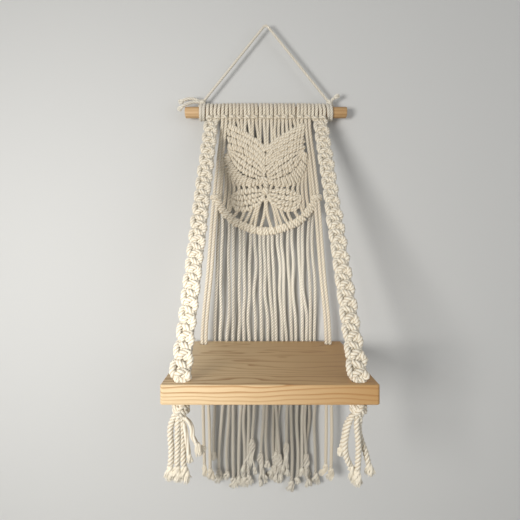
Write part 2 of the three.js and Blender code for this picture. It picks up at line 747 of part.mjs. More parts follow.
function hangerKnot(side, tailShares) {
  const steps = hitchTurns * hitchStepsPerTurn;
  const coil = Array.from({ length: steps + 1 }, (_, i) => {
    const x = hitchX + (hitchPitch * i) / hitchStepsPerTurn;
    return roundDowel(side * x, 90 - (i / hitchStepsPerTurn) * 360, hitchRadius);
  });
  const tails = tailShares.map((shares) =>
    tube(
      shares.map(([out, forward, up]) =>
        at(
          side * (hangerKnotX + out * hangerDiameter),
          forward * hangerDiameter,
          up * hangerDiameter,
        ),
      ),
      hangerDiameter,
      wrapSides,
    ),
  );
  const knot = lump(side * hangerKnotX, 0, hangerKnotZ, hangerKnotWidth, hangerKnotDepth, hangerKnotHeight);
  return fuse(tube(coil, hangerDiameter, wrapSides), knot, ...tails).translate(0, 0, -dowelDrop);
}

/** Straight up from each knot to a small bend at the top. */
function hangingCord() {
  const bendMiddleZ = -hangingBend / 2;
  const bendRadius = (hangingBend + hangerDiameter) / 2;
  const knot = at(hangerKnotX, 0, hangerKnotZ - dowelDrop);
  const away = at(0, 0, bendMiddleZ).sub(knot);
  const way = away.clone().normalize();
  const reach = Math.hypot((hangerKnotWidth * way.x) / 2, (hangerKnotHeight * way.z) / 2) + touchGap;
  const foot = knot.clone().addScaledVector(way, reach);
  const footAngle = Math.atan2(foot.z - bendMiddleZ, foot.x);
  const tangent = footAngle + Math.acos(bendRadius / foot.distanceTo(at(0, 0, bendMiddleZ)));
  const bendSteps = 4;
  const bend = Array.from({ length: bendSteps + 1 }, (_, i) => {
    const angle = THREE.MathUtils.lerp(tangent, Math.PI - tangent, i / bendSteps);
    return at(bendRadius * Math.cos(angle), 0, bendMiddleZ + bendRadius * Math.sin(angle));
  });
  return tube([foot, ...bend, at(-foot.x, 0, foot.z)], hangerDiameter);
}

piece(hanger, 'hanging_cord', hangingCord(), cordColour, ropeRoughness);
const hangerKnotLeft = hangerKnot(-1, leftHangerTailShares);
const hangerKnotRight = hangerKnot(1, rightHangerTailShares);
piece(hanger, 'hanger_knot_left', hangerKnotLeft, cordColour, ropeRoughness);
piece(hanger, 'hanger_knot_right', hangerKnotRight, cordColour, ropeRoughness);

export default shelf;
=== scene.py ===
"""A hanging rope shelf: a pine board on knotted cotton ropes, under a wooden dowel on a cord.

Shapes are worked out in millimetres, in the part's own frame: +X to the right, +Y to the wall, +Z up.
build() turns them into metres when it makes a mesh.
"""

from collections import namedtuple
from math import acos, asin, atan2, cos, hypot, pi, radians, sin, sqrt

import bpy
import numpy as np
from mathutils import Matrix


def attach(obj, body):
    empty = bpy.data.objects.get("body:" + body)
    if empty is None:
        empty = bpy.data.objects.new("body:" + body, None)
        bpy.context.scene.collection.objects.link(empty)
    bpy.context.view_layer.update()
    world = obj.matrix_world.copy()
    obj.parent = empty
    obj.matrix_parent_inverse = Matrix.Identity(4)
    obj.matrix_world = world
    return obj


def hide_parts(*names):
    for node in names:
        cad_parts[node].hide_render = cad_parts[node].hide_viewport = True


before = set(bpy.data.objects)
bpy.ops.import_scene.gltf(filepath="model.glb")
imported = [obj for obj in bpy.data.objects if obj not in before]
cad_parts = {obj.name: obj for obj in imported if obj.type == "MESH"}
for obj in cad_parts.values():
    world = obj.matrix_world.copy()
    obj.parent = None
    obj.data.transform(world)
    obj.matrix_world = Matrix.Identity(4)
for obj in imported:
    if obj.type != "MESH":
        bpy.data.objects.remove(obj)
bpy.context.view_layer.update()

METRES = 0.001  # in a millimetre

# Rope
ROPE = 5.0
WRAP = 4.8  # pulled tight round the dowel
HITCH_ROPE = 4.9  # pulled tight in the butterfly's half hitches
HANGER = 4.0
WRAP_PITCH = 5.4
TOUCH = 0.3  # room between ropes, or between rope and wood, that touch
FULLNESS_SHARE = 1.07  # soft cotton swells a little past the rope's nominal size
PLIES = 3
LAY = 13.0  # length of one full turn of the rope's plies
HITCH_LAY = LAY * 0.9  # twisted a little harder by the knotting
HANGER_LAY = LAY * 0.8
PLY_SHARE = 0.26  # depth of the grooves between plies, of the rope's radius
HITCH_PLY_SHARE = 0.24  # the same where the rope is pulled tight
SINNET_PLY_SHARE = 0.28
OPEN_PLY_SHARE = 0.34  # and where it hangs slack
FRINGE_PLY_SHARE = 0.42
SIDES = 12
STEP = 1.3  # between rings along a rope
LOOSE_STEP = 1.6

# Dowel and hanging cord
DROP = 125.0  # from the origin down to the dowel's axis
DOWEL = 16.0
DOWEL_LENGTH = 235.0
DOWEL_ROUNDING = 1.2
DOWEL_SIDES = 64
HANGING_BEND = 4.0  # across the inside of the hanging cord's bend

# Board
BOARD_WIDTH = 220.0
BOARD_DEPTH = 180.0
BOARD_THICKNESS = 20.0
BOARD_BELOW_DOWEL = 335.5
BOARD_BACK = 5.0  # how far the board reaches behind the dowel's axis
FRONT_HOLE_FROM_SIDE = 18.7
FRONT_HOLE_FROM_FRONT = 13.0
REAR_HOLE_FROM_SIDE = 21.0
REAR_HOLE_FROM_BACK = 15.0

# Butterfly and border
PANEL_HEADS = 5
SINNET_HEADS = 2
PANEL_PROUD = 0.5  # from the dowel's front to the middle of the panel's thickness
PANEL_THICKNESS = 7.0
PANEL_HALF_WIDTH = 56.0
PANEL_HEIGHT = 160.0
BORDER_RADIUS = 78.5
BORDER_HEIGHT = 12.0
BORDER_HITCHES = 40
SUPPORT_AT_BORDER_X = 72.5
HITCH_PITCH = 4.7
BAR_DROP_SHARE = 1.2  # of half a wrap, from the dowel's underside to the lark's heads' bars

# Sinnets
SINNET_KNOTS = 18
SINNET_WIDTH = 20.5
SINNET_THICKNESS = 14.0
SINNET_START_DROP = 18.0
SINNET_START_X = 78.0
SINNET_NECK = 1.5  # from the last square knot down to the board
SINNET_ROPE = 5.5

# Stopper knots and ends
FRONT_KNOT = (20.0, 17.0, 15.5)
REAR_KNOT = (17.0, 13.0, 12.0)
HANGER_KNOT = (11.0, 9.0, 8.5)
REAR_TAIL_FALL = 172.0
FRINGE_HALF_WIDTH = 75.8
FRINGE_FALL = 205.7
TASSEL_LENGTH = 62.0

# Worked out from the sizes above
DOWEL_RADIUS = DOWEL / 2
HEAD_PITCH = 2 * WRAP_PITCH
SPREAD = ROPE + TOUCH
DOWEL_Z = -DROP
PANEL_Y = -(DOWEL_RADIUS + PANEL_PROUD)
PANEL_BACK_Y = PANEL_Y + PANEL_THICKNESS / 2
BOARD_TOP = DOWEL_Z - BOARD_BELOW_DOWEL
BOARD_BOTTOM = BOARD_TOP - BOARD_THICKNESS
FRONT_HOLE_X = BOARD_WIDTH / 2 - FRONT_HOLE_FROM_SIDE
FRONT_HOLE_Y = BOARD_BACK - BOARD_DEPTH + FRONT_HOLE_FROM_FRONT
REAR_HOLE_X = BOARD_WIDTH / 2 - REAR_HOLE_FROM_SIDE
REAR_HOLE_Y = BOARD_BACK - REAR_HOLE_FROM_BACK
BAR_Z = DOWEL_Z - (DOWEL_RADIUS + TOUCH + BAR_DROP_SHARE * WRAP / 2)
BAR_Y = -(DOWEL_RADIUS + WRAP)
PANEL_TOP = BAR_Z - ROPE / 2 - TOUCH
BORDER_CENTRE_Z = PANEL_TOP - PANEL_HEIGHT + BORDER_RADIUS
BORDER_HALF_ANGLE = asin(SUPPORT_AT_BORDER_X / BORDER_RADIUS)
BORDER_END_Z = BORDER_CENTRE_Z - BORDER_RADIUS * cos(BORDER_HALF_ANGLE)
SUPPORT_HEAD_X = (PANEL_HEADS + 0.5) * HEAD_PITCH
HEADS_HALF_WIDTH = (PANEL_HEADS + 1 + SINNET_HEADS) * HEAD_PITCH
SUPPORT_FOOT_Z = BOARD_TOP + ROPE / 2
FRINGE_Y = PANEL_BACK_Y + TOUCH + ROPE / 2
FRINGE_BEHIND_BOARD_Y = BOARD_BACK + TOUCH + ROPE / 2

SIDES_AND_WORDS = ((-1, "left"), (1, "right"))
rng = np.random.default_rng(7)


# Paths

TINY = 1e-6  # keeps points that fall together from dividing by nothing
CURVE_PARTS = 14  # of a smooth curve between two of its points


def distances(line):
    """How far along a line each of its points lies."""
    return np.concatenate([[0], np.cumsum(np.linalg.norm(np.diff(line, axis=0), axis=1))])


def between(places, known, points):
    """Points at places along a line whose own points lie at the known places."""
    return np.stack([np.interp(places, known, points[:, i]) for i in range(3)], axis=1)


def spaced(line, step):
    """The same line with its points at equal distances of about step."""
    line = np.asarray(line, float)
    reach = distances(line)
    count = max(2, round(reach[-1] / step)) + 1
    return between(np.linspace(0, reach[-1], count), reach, line)


def smooth(points, step):
    """Smooth curve through the points. At b, with neighbours a and c at distances d and e, it runs along
    v = ((b - a) e / d + (c - b) d / e) / (d + e). Between b and c it is, for t from 0 to 1,
    (2t^3 - 3t^2 + 1) b + (t^3 - 2t^2 + t) e v_b + (3t^2 - 2t^3) c + (t^3 - t^2) e v_c."""
    p = np.asarray(points, float)
    steps = np.diff(p, axis=0)
    far = np.maximum(np.linalg.norm(steps, axis=1), TINY)[:, None]
    way = steps / far
    inner = (way[:-1] * far[1:] + way[1:] * far[:-1]) / (far[:-1] + far[1:])
    v = np.vstack([way[:1], inner, way[-1:]])
    t = np.linspace(0, 1, CURVE_PARTS, endpoint=False)[:, None, None]
    curve = (
        (2 * t**3 - 3 * t**2 + 1) * p[:-1]
        + (t**3 - 2 * t**2 + t) * far * v[:-1]
        + (3 * t**2 - 2 * t**3) * p[1:]
        + (t**3 - t**2) * far * v[1:]
    )
    fine = np.vstack([curve.transpose(1, 0, 2).reshape(-1, 3), p[-1:]])
    return spaced(fine, step)


def line_length(line):
    return float(np.linalg.norm(np.diff(line, axis=0), axis=1).sum())


def unit(vectors):
    return vectors / np.linalg.norm(vectors, axis=-1, keepdims=True)


def carried_sideways(line):
    """Tangents along a line, and a sideways direction at each point that turns about the line as little as it
    can: from one point to the next it is mirrored twice, in the plane between the points and in the plane
    between the tangents."""
    tangents = unit(np.gradient(line, axis=0))
    helper = np.eye(3)[np.argmin(np.abs(tangents[0]))]
    sideways = np.empty_like(line)
    sideways[0] = unit(np.cross(tangents[0], helper))
    for i in range(len(line) - 1):
        step = line[i + 1] - line[i]
        size = step @ step
        mirrored = sideways[i] - (2 / size) * (step @ sideways[i]) * step
        tangent = tangents[i] - (2 / size) * (step @ tangents[i]) * step
        turn = tangents[i + 1] - tangent
        size = max(turn @ turn, TINY**2)
        sideways[i + 1] = mirrored - (2 / size) * (turn @ mirrored) * turn
    return tangents, sideways


# Surfaces

Surface = namedtuple("Surface", "points quads rings uv_quads uv_rings tone groove")
PATTERN_LENGTH = 100.0  # a rope starts anywhere within this much of its material's pattern
END_ANGLE = 0.35  # where a rope's rounded end starts, on a quarter circle, in radians
END_RINGS = 2


def tube_surface(points, along, around, tone, groove):
    """Closed surface through rings of points that run left-handed, so that its faces are turned outwards:
    points is rings by sides by 3. For the material, along is each ring's distance and around each point's
    distance round the ring."""
    rows, columns = points.shape[:2]
    whole_round = around[:, -1:] + (around[:, 1:2] - around[:, :1])
    wide = np.hstack([around, whole_round])
    row, column = np.meshgrid(np.arange(rows - 1), np.arange(columns), indexing="ij")
    corners = [(row, column), (row, column + 1), (row + 1, column + 1), (row + 1, column)]
    quads = np.stack([r * columns + c % columns for r, c in corners], axis=-1)
    uv = np.stack([np.stack([along[r], wide[r, c]], axis=-1) for r, c in corners], axis=2)
    first = np.arange(columns)[::-1]
    last = (rows - 1) * columns + np.arange(columns)
    ends = np.stack([first, last])
    uv_ends = np.stack([np.tile(along[0], (columns, 2)), np.tile(along[-1], (columns, 2))])
    tones = np.repeat(np.broadcast_to(np.asarray(tone, float), rows), columns)
    return Surface(
        points.reshape(-1, 3), quads.reshape(-1, 4), ends, uv.reshape(-1, 4, 2), uv_ends, tones,
        groove.reshape(-1),
    )


def rope(line, diameter=ROPE, tone=0.0, lay=LAY, swell=1.0, depth=PLY_SHARE, pressed=None):
    """Twisted rope along a line. At a distance s along it and an angle a round it, the surface lies
    R (1 - depth + depth |cos(3 a / 2)|) from the middle, where R is half the diameter times the swell, and
    the whole turns by 2 pi s / lay. A pressed rope is made thinner along one direction and wider across it:
    pressed is that direction and the two shares."""
    tangents, sideways = carried_sideways(line)
    across = np.cross(tangents, sideways)
    reach = distances(line)
    start = rng.uniform(0, 2 * pi)
    angle = np.arange(SIDES) * 2 * pi / SIDES
    crest = np.abs(np.cos(PLIES * angle / 2))
    turned = angle[None, :] + start + 2 * pi * reach[:, None] / lay
    radius = diameter * FULLNESS_SHARE / 2 * swell * np.ones(len(line))
    out = radius[:, None] * (1 - depth + depth * crest)[None, :]
    offsets = (
        (out * np.cos(turned))[..., None] * sideways[:, None, :]
        + (out * np.sin(turned))[..., None] * across[:, None, :]
    )
    if pressed is not None:
        direction, thin, wide = pressed
        offsets = offsets * wide + (thin - wide) * (offsets @ direction)[..., None] * direction
    # How deep each point lies in a groove between plies: the material paints shade there.
    groove = np.broadcast_to(1 - crest, out.shape)
    along = reach + rng.uniform(0, PATTERN_LENGTH)
    return tube_surface(line[:, None, :] + offsets, along, turned * diameter / 2, tone, groove)


def closed_rope(line, diameter=ROPE, **facts):
    """Rope that closes over its two ends: its first and last rings swell as the sine does up to a right
    angle."""
    swell = np.ones(len(line))
    round_off = np.sin(np.linspace(END_ANGLE, pi / 2, END_RINGS + 1))[:-1]
    swell[:END_RINGS] = round_off
    swell[-END_RINGS:] = round_off[::-1]
    return rope(line, diameter, swell=swell, **facts)


def joined(surfaces):
    """One surface out of many."""
    starts = np.cumsum([0] + [len(s.points) for s in surfaces[:-1]])
    return Surface(
        np.concatenate([s.points for s in surfaces]),
        np.concatenate([s.quads + n for s, n in zip(surfaces, starts)]),
        [ring + n for s, n in zip(surfaces, starts) for ring in s.rings],
        np.concatenate([s.uv_quads for s in surfaces]),
        [uv for s in surfaces for uv in s.uv_rings],
        np.concatenate([s.tone for s in surfaces]),
        np.concatenate([s.groove for s in surfaces]),
    )


def build(name, surfaces, node=None, slot="cotton_rope", body="curtain"):
    """Makes the surfaces one mesh object that rides on a body, has the look of a material slot and may stand
    in for a node of the solids."""
    whole = joined(surfaces)
    mesh = bpy.data.meshes.new(name)
    loops = np.concatenate([whole.quads.ravel(), *[ring.ravel() for ring in whole.rings]])
    totals = np.concatenate([np.full(len(whole.quads), 4), [len(ring) for ring in whole.rings]])
    mesh.vertices.add(len(whole.points))
    mesh.vertices.foreach_set("co", (whole.points * METRES).ravel())
    mesh.loops.add(len(loops))
    mesh.loops.foreach_set("vertex_index", loops.astype(np.int32))
    mesh.polygons.add(len(totals))
    starts = np.concatenate([[0], np.cumsum(totals)[:-1]])
    mesh.polygons.foreach_set("loop_start", starts.astype(np.int32))
    mesh.polygons.foreach_set("use_smooth", np.ones(len(totals), bool))
    mesh.update(calc_edges=True)
    uv = mesh.uv_layers.new(name="lay")
    corners = np.concatenate([whole.uv_quads.reshape(-1, 2), *[uv.reshape(-1, 2) for uv in whole.uv_rings]])
    uv.data.foreach_set("uv", corners.ravel())
    for key, values in (("tone", whole.tone), ("groove", whole.groove)):
        attribute = mesh.attributes.new(key, "FLOAT", "POINT")
        attribute.data.foreach_set("value", values.astype(np.float32))
    mesh.validate()
    mesh.materials.append(looks[slot])
    piece = bpy.data.objects.new(name, mesh)
    bpy.context.scene.collection.objects.link(piece)
    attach(piece, body)
    if node:
        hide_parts(node)
    return piece


# Frayed ends

YARN = 0.95
YARN_SIDES = 4
YARN_RINGS = 8
YARN_TAPER = 0.35  # of its thickness, lost on the way to its tip
YARN_THICKNESS_SHARES = (0.8, 1.2)
YARN_LENGTH_SHARES = (0.8, 1.03)
YARN_SPREAD_SHARES = (0.7, 1.15)
YARN_MOTTLE = 0.2  # how far the yarns of one end differ in tone
OUTER_LOSS_SHARE = 0.15  # of the length, by which a yarn at the rope's rim is shorter
BUNCH_PLACE_SHARE = 0.48  # of the rope's radius, from its middle to a bunch's
BUNCH_SHARE = 0.4  # a bunch's own radius
BRUSH_DEPTH_SHARE = 0.8  # of a brush's width
WAVE = 0.3  # sway of a yarn to each side
WAVE_LENGTH = 6.0
WAVE_GROWTH = 3  # a wave grows to its full size over one part in this many of the length
TIE_SHARE = 0.62  # of a spindled end's length, where its plies meet again
END_POINTS = 5  # a rope's direction at its end is taken over this many points
HANGS_STRAIGHT = (0.0, 0.0, 0.0)


def line_end(line, points=END_POINTS):
    """Where a frayed end starts on a line, and its direction there."""
    return line[-2], line[-1] - line[-points]


def ends_frame(way):
    """Directions across a rope's end: sideways and forwards. The helper leans a little off the Y axis, so
    that no rope runs along it."""
    way = unit(np.asarray(way, float))
    side = unit(np.cross(way, (0.0, 1.0, 0.05)))
    return way, side, np.cross(way, side)


def flared(t):
    """Opens faster and faster: t^1.5."""
    return t**1.5


def bulbous(t):
    """Opens and closes a little again: sin(2.1 t)."""
    return np.sin(2.1 * t)


def fanned(t):
    """Opens at once, then less and less: t^0.7."""
    return t**0.7


def spindled(t):
    """Opens, closes at the tie share and opens once more: |sin(pi t / tie)|^0.8."""
    return np.abs(np.sin(pi * t / TIE_SHARE)) ** 0.8


def waved(t, reach, size, length):
    """Sideways wave of the given size and length at shares t of a reach, from a random start. It grows from
    nothing at the rope."""
    start = rng.uniform(0, 1, np.shape(reach))
    return size * np.sin(2 * pi * (t * reach / length + start)) * np.minimum(1, WAVE_GROWTH * t)


def tuft(
    tip, way, length, spread, width, yarns, tone, droop=HANGS_STRAIGHT, wave=WAVE, opening=flared, yarn=YARN,
    mottle=YARN_MOTTLE,
):
    """Brush of loose yarns at a rope's end, in three bunches as they lay in the rope. At a share t of the
    length a yarn keeps its place in the section, turned by the lay, which dies out, and the section grows by
    1 + (spread / radius - 1) opening(t). The droop is added times t^2."""
    way, side, front = ends_frame(way)
    radius = width * FULLNESS_SHARE / 2
    bunch = np.arange(yarns) % PLIES * 2 * pi / PLIES + rng.uniform(0, 2 * pi)
    own = rng.uniform(0, 2 * pi, yarns)
    out = BUNCH_SHARE * radius * np.sqrt(rng.uniform(0, 1, yarns))
    place = BUNCH_PLACE_SHARE * radius * np.exp(1j * bunch) + out * np.exp(1j * own)
    loss = OUTER_LOSS_SHARE * (np.abs(place) / radius) ** 2
    reach = length * rng.uniform(*YARN_LENGTH_SHARES, yarns) * (1 - loss)
    t = np.linspace(0, 1, YARN_RINGS)[:, None]
    turn = 2 * pi * t * length / LAY * (1 - t / 2)
    grow = 1 + (spread / radius - 1) * opening(t) * rng.uniform(*YARN_SPREAD_SHARES, yarns)
    moved = place * np.exp(1j * turn) * grow
    sway = waved(t, reach, wave, WAVE_LENGTH)
    x = moved.real + sway
    y = moved.imag * BRUSH_DEPTH_SHARE + sway * rng.uniform(-1, 1, yarns)
    middle = np.asarray(tip) + x[..., None] * side + y[..., None] * front + (t * reach)[..., None] * way
    middle = middle + np.asarray(droop) * (t**2)[..., None]
    thick = yarn / 2 * (1 - YARN_TAPER * t**2) * rng.uniform(*YARN_THICKNESS_SHARES, yarns)
    corner = np.arange(YARN_SIDES) * 2 * pi / YARN_SIDES
    rim = np.cos(corner)[:, None] * side + np.sin(corner)[:, None] * front
    points = middle[:, :, None, :] + thick[:, :, None, None] * rim[None, None]
    around = np.tile(corner * yarn / 2, (YARN_RINGS, 1))
    groove = np.zeros((YARN_RINGS, YARN_SIDES))
    return [
        tube_surface(points[:, j], t[:, 0] * reach[j], around, tone + rng.normal(0, mottle), groove)
        for j in range(yarns)
    ]


# Unlaid ends

PLY = 3.0
LOOSE_PLIES = 4
PLY_STEP = 1.0
PLY_POINTS = 30
PLY_LAY = 6.0
PLY_GROOVE_SHARE = 0.12
PLY_MOTTLE = 0.15
PLY_LENGTH_SHARES = (0.68, 0.88)  # of the end's length
PLY_SPREAD_SHARES = (0.65, 1.1)
PLY_PLACE_SHARE = 0.45  # of the rope's radius, from its middle to a ply's
PLY_DEPTH_SHARE = 0.7  # of an unlaid end's width
PLY_KINK = 0.6
PLY_KINK_LENGTH = 11.0
TURNS_LEFT_SHARE = 0.5  # of the rope's lay, at the start of an unlaid end
UNTWIST_SHARE = 0.62  # of those, lost on the way to its tip
PARTING_SHARE = 1.1  # of its spread, that its plies part at the end
PLY_BRUSH_SHARE = 0.26  # of an unlaid end, that ends in yarns
PLY_BRUSH = 3.8
PLY_BRUSH_YARNS = 34
PLY_BRUSH_TONE = -0.2
FILLING_SHARE = 0.85  # of its length, to which loose yarns fill it
FILLING_YARNS = 72
FILLING_WAVE = 0.8
FRINGE_MOTTLE = 0.8  # how far the yarns of the fringe differ in tone
FRINGE_END_POINTS = 6


def unlaid(tip, way, length, spread, tone, droop):
    """Rope's end whose plies have come apart. With r as PLY_PLACE_SHARE of the radius, a ply at a share t of
    the length lies r + (spread - r) spindled(t) out, round an angle that turns less and less, and each ends
    in a small brush. Loose yarns fill the room between them."""
    way, side, front = ends_frame(way)
    inner = PLY_PLACE_SHARE * ROPE * FULLNESS_SHARE / 2
    start = rng.uniform(0, 2 * pi)
    t = np.linspace(0, 1, PLY_POINTS)
    turns = t * length / LAY * TURNS_LEFT_SHARE * (1 - UNTWIST_SHARE * t)
    surfaces = []
    for ply in range(LOOSE_PLIES):
        reach = length * rng.uniform(*PLY_LENGTH_SHARES)
        angle = start + ply * 2 * pi / LOOSE_PLIES + 2 * pi * turns
        out = inner + (spread * rng.uniform(*PLY_SPREAD_SHARES) - inner) * spindled(t)
        kink = waved(t, reach, PLY_KINK, PLY_KINK_LENGTH)
        parting = spread * rng.uniform(-PARTING_SHARE, PARTING_SHARE) * t**3
        line = (
            np.asarray(tip)
            + (out * np.cos(angle) + kink + parting)[:, None] * side
            + (PLY_DEPTH_SHARE * out * np.sin(angle))[:, None] * front
            + (t * reach)[:, None] * way
            + (t**2)[:, None] * np.asarray(droop)
        )
        line = spaced(line, PLY_STEP)
        own = tone + rng.normal(0, PLY_MOTTLE)
        surfaces.append(closed_rope(line, PLY, tone=own, lay=PLY_LAY, depth=PLY_GROOVE_SHARE))
        surfaces += tuft(
            *line_end(line, FRINGE_END_POINTS), length * PLY_BRUSH_SHARE, PLY_BRUSH, PLY, PLY_BRUSH_YARNS,
            tone + PLY_BRUSH_TONE, opening=bulbous, mottle=FRINGE_MOTTLE,
        )
    return surfaces + tuft(
        tip, way, length * FILLING_SHARE, spread, ROPE, FILLING_YARNS, tone, droop, FILLING_WAVE, spindled,
        mottle=FRINGE_MOTTLE,
    )


# Materials

# In ropes, how much the shade colour shows: for each cause, the range of its value, then the share at both
# ends of that range.
STREAK_RAMP = (0.3, 0.7, 0.0, 0.16)
PATCH_RAMP = (0.35, 0.7, 0.0, 0.18)
# The groove ramp is painted shade: darker deep in the grooves between plies.
GROOVE_PAINTED_SHADE_RAMP = (0.3, 1.0, 0.0, 0.75)
TONE_RAMP = (-1.0, 1.0, 0.0, 0.42)
# Waves of the fibres in a millimetre along the rope and round it
FINE_FIBRES = (0.35, 3.2, 1.0)
COARSE_FIBRES = (0.12, 0.9, 1.0)
# The same in wood, as waves in a metre, and the ramps of its rings and pores
BEND = (6.0, 30.0, 30.0)
FINE_BEND = (25.0, 180.0, 180.0)
FINE_BEND_SIZE = 0.0006
BROAD = (3.0, 40.0, 40.0)
PORES = (40.0, 1800.0, 1800.0)
ALONG_GRAIN_SHARE = 0.02  # of a distance along the grain, that counts in a ring's size
LATE_RAMP = (0.55, 0.93, 0.0, 1.0)
RING_EDGE_RAMP = (0.93, 1.0, 1.0, 0.0)
STRENGTH_RAMP = (0.3, 0.7, 0.25, 1.0)
PORE_RAMP = (0.5, 0.75, 0.0, 0.35)
# Far ramp: partly warmer heartwood, partly painted shade where the light falls off towards +X.
FAR_RAMP = (-0.1, 0.12, 0.0, 1.0)
LATE_GLOSS = 0.12  # how much less rough late wood is
NOISE_ROUGHNESS = 0.55
# Strength and depth of the relief
COTTON_RELIEF = (0.55, 0.25)
WOOD_RELIEF = (0.25, 0.1)


def feed(tree, node, values):
    """Gives a node's inputs their values, each a socket or a plain value, and returns the node."""
    for label, value in values.items():
        socket = node.inputs[label]
        if isinstance(value, bpy.types.NodeSocket):
            tree.links.new(value, socket)
        else:
            socket.default_value = value
    return node


def new_material(name):
    material = bpy.data.materials.new(name)
    material.use_nodes = True
    return material, material.node_tree


def group_with(name, inputs, outputs):
    """Empty node group with named sockets: each is a name and a kind."""
    group = bpy.data.node_groups.new(name, "ShaderNodeTree")
    for direction, sockets in (("INPUT", inputs), ("OUTPUT", outputs)):
        for label, kind in sockets:
            group.interface.new_socket(label, in_out=direction, socket_type=f"NodeSocket{kind}")
    return group, group.nodes.new("NodeGroupInput").outputs, group.nodes.new("NodeGroupOutput")


def grouped(tree, group, values):
    """Outputs of a node group that is given the values."""
    node = tree.nodes.new("ShaderNodeGroup")
    node.node_tree = group
    return feed(tree, node, values).outputs


def mix_colour(tree, share, first, second):
    """Colour mix. In this node the share is socket 0, the two colours are 6 and 7, and the result is 2."""
    node = tree.nodes.new("ShaderNodeMix")
    node.data_type = "RGBA"
    return feed(tree, node, {0: share, 6: first, 7: second}).outputs[2]


def ramp(tree, source, start, stop, low, high):
    """Goes from low to high in a straight line while the source goes from start to stop, and is level
    outside them."""
    node = tree.nodes.new("ShaderNodeMapRange")
    values = {"Value": source, "From Min": start, "From Max": stop, "To Min": low, "To Max": high}
    return feed(tree, node, values).outputs["Result"]


def stretched(tree, vector, scales):
    node = tree.nodes.new("ShaderNodeMapping")
    return feed(tree, node, {"Vector": vector, "Scale": scales}).outputs["Vector"]


def noise(tree, vector, scales, detail=2.0):
    """Noise with about as many waves along each of the vector's axes as its scale says."""
    node = tree.nodes.new("ShaderNodeTexNoise")
    place = stretched(tree, vector, scales)
    values = {"Vector": place, "Scale": 1.0, "Detail": detail, "Roughness": NOISE_ROUGHNESS}
    return feed(tree, node, values).outputs["Fac"]


def maths(tree, operation, first, second=0.0):
    node = tree.nodes.new("ShaderNodeMath")
    node.operation = operation
    return feed(tree, node, {0: first, 1: second}).outputs[0]


def attribute(tree, name):
    node = tree.nodes.new("ShaderNodeAttribute")
    node.attribute_name = name
    return node.outputs["Fac"]


def bump(tree, height, strength, depth):
    """Normals of a surface that the height raises by up to the depth."""
    node = tree.nodes.new("ShaderNodeBump")
    values = {"Height": height, "Strength": strength, "Distance": depth * METRES}
    return feed(tree, node, values).outputs["Normal"]


def fibre_group():
    """Cotton fibres along a rope: fine streaks and broader patches that run with the yarns, and painted shade
    in the grooves between plies. Puts out the colour and the height of the surface."""
    group, inlet, outlet = group_with(
        "cotton fibres", [("Colour", "Color"), ("Shade", "Color")], [("Colour", "Color"), ("Height", "Float")]
    )
    lay = group.nodes.new("ShaderNodeUVMap")
    lay.uv_map = "lay"
    fine = noise(group, lay.outputs["UV"], FINE_FIBRES)
    coarse = noise(group, lay.outputs["UV"], COARSE_FIBRES)
    groove = attribute(group, "groove")
    tone = attribute(group, "tone")
    colour = inlet["Colour"]
    causes = ((fine, STREAK_RAMP), (coarse, PATCH_RAMP), (groove, GROOVE_PAINTED_SHADE_RAMP), (tone, TONE_RAMP))
    for source, stops in causes:
        colour = mix_colour(group, ramp(group, source, *stops), colour, inlet["Shade"])
    feed(group, outlet, {"Colour": colour, "Height": maths(group, "ADD", fine, coarse)})
    return group


def cotton(name, colour, shade, fibres):
    """Matt cotton with a soft sheen."""
    material, tree = new_material(name)
    surface = grouped(tree, fibres, {"Colour": colour, "Shade": shade})
    feed(tree, tree.nodes["Principled BSDF"], {
        "Base Color": surface["Colour"],
        "Roughness": 0.92,
        "Specular IOR Level": 0.25,
        "Sheen Weight": 0.25,
        "Sheen Roughness": 0.6,
        "Normal": bump(tree, surface["Height"], *COTTON_RELIEF),
    })
    return material


def from_heart(tree, place, heart):
    """Distance from the heart of the tree, in the plane across the grain."""
    away = tree.nodes.new("ShaderNodeVectorMath")
    away.operation = "SUBTRACT"
    feed(tree, away, {0: place, 1: heart})
    size = tree.nodes.new("ShaderNodeVectorMath")
    size.operation = "LENGTH"
    flat = stretched(tree, away.outputs[0], (ALONG_GRAIN_SHARE, 1.0, 1.0))
    return feed(tree, size, {0: flat}).outputs["Value"]


def grain_group():
    """Growth rings of a plank or stick that was cut along +X. The distance from the heart is bent by noise
    that is long along the grain, and each ring goes from pale early wood to a sharp dark line of late wood.
    The early wood changes along +X to the colour called Far: partly warmer heartwood, partly painted shade
    where the light falls off away from the lamp on the left. Puts out the colour and a mask of the late wood."""
    group, inlet, outlet = group_with(
        "growth rings",
        [(label, "Color") for label in ("Early", "Late", "Pores", "Far")]
        + [("Heart", "Vector"), ("Rings", "Float"), ("Waver", "Float")],
        [("Colour", "Color"), ("Mask", "Float")],
    )
    place = group.nodes.new("ShaderNodeTexCoord").outputs["Object"]
    distance = from_heart(group, place, inlet["Heart"])
    for scales, size in ((BEND, inlet["Waver"]), (FINE_BEND, FINE_BEND_SIZE)):
        distance = maths(group, "ADD", distance, maths(group, "MULTIPLY", noise(group, place, scales), size))
    ring = maths(group, "FRACT", maths(group, "MULTIPLY", distance, inlet["Rings"]))
    late = maths(group, "MINIMUM", ramp(group, ring, *LATE_RAMP), ramp(group, ring, *RING_EDGE_RAMP))
    strength = ramp(group, noise(group, place, BROAD, detail=1.0), *STRENGTH_RAMP)
    late_share = maths(group, "MULTIPLY", late, strength)
    split = feed(group, group.nodes.new("ShaderNodeSeparateXYZ"), {0: place})
    # Partly painted shade: the early wood darkens towards +X, where the light falls off, as well as warming
    # to heartwood.
    far_share = ramp(group, split.outputs["X"], *FAR_RAMP)
    pore_share = ramp(group, noise(group, place, PORES), *PORE_RAMP)
    colour = mix_colour(group, far_share, inlet["Early"], inlet["Far"])
    colour = mix_colour(group, late_share, colour, inlet["Late"])
    colour = mix_colour(group, pore_share, colour, inlet["Pores"])
    feed(group, outlet, {"Colour": colour, "Mask": late_share})
    return group


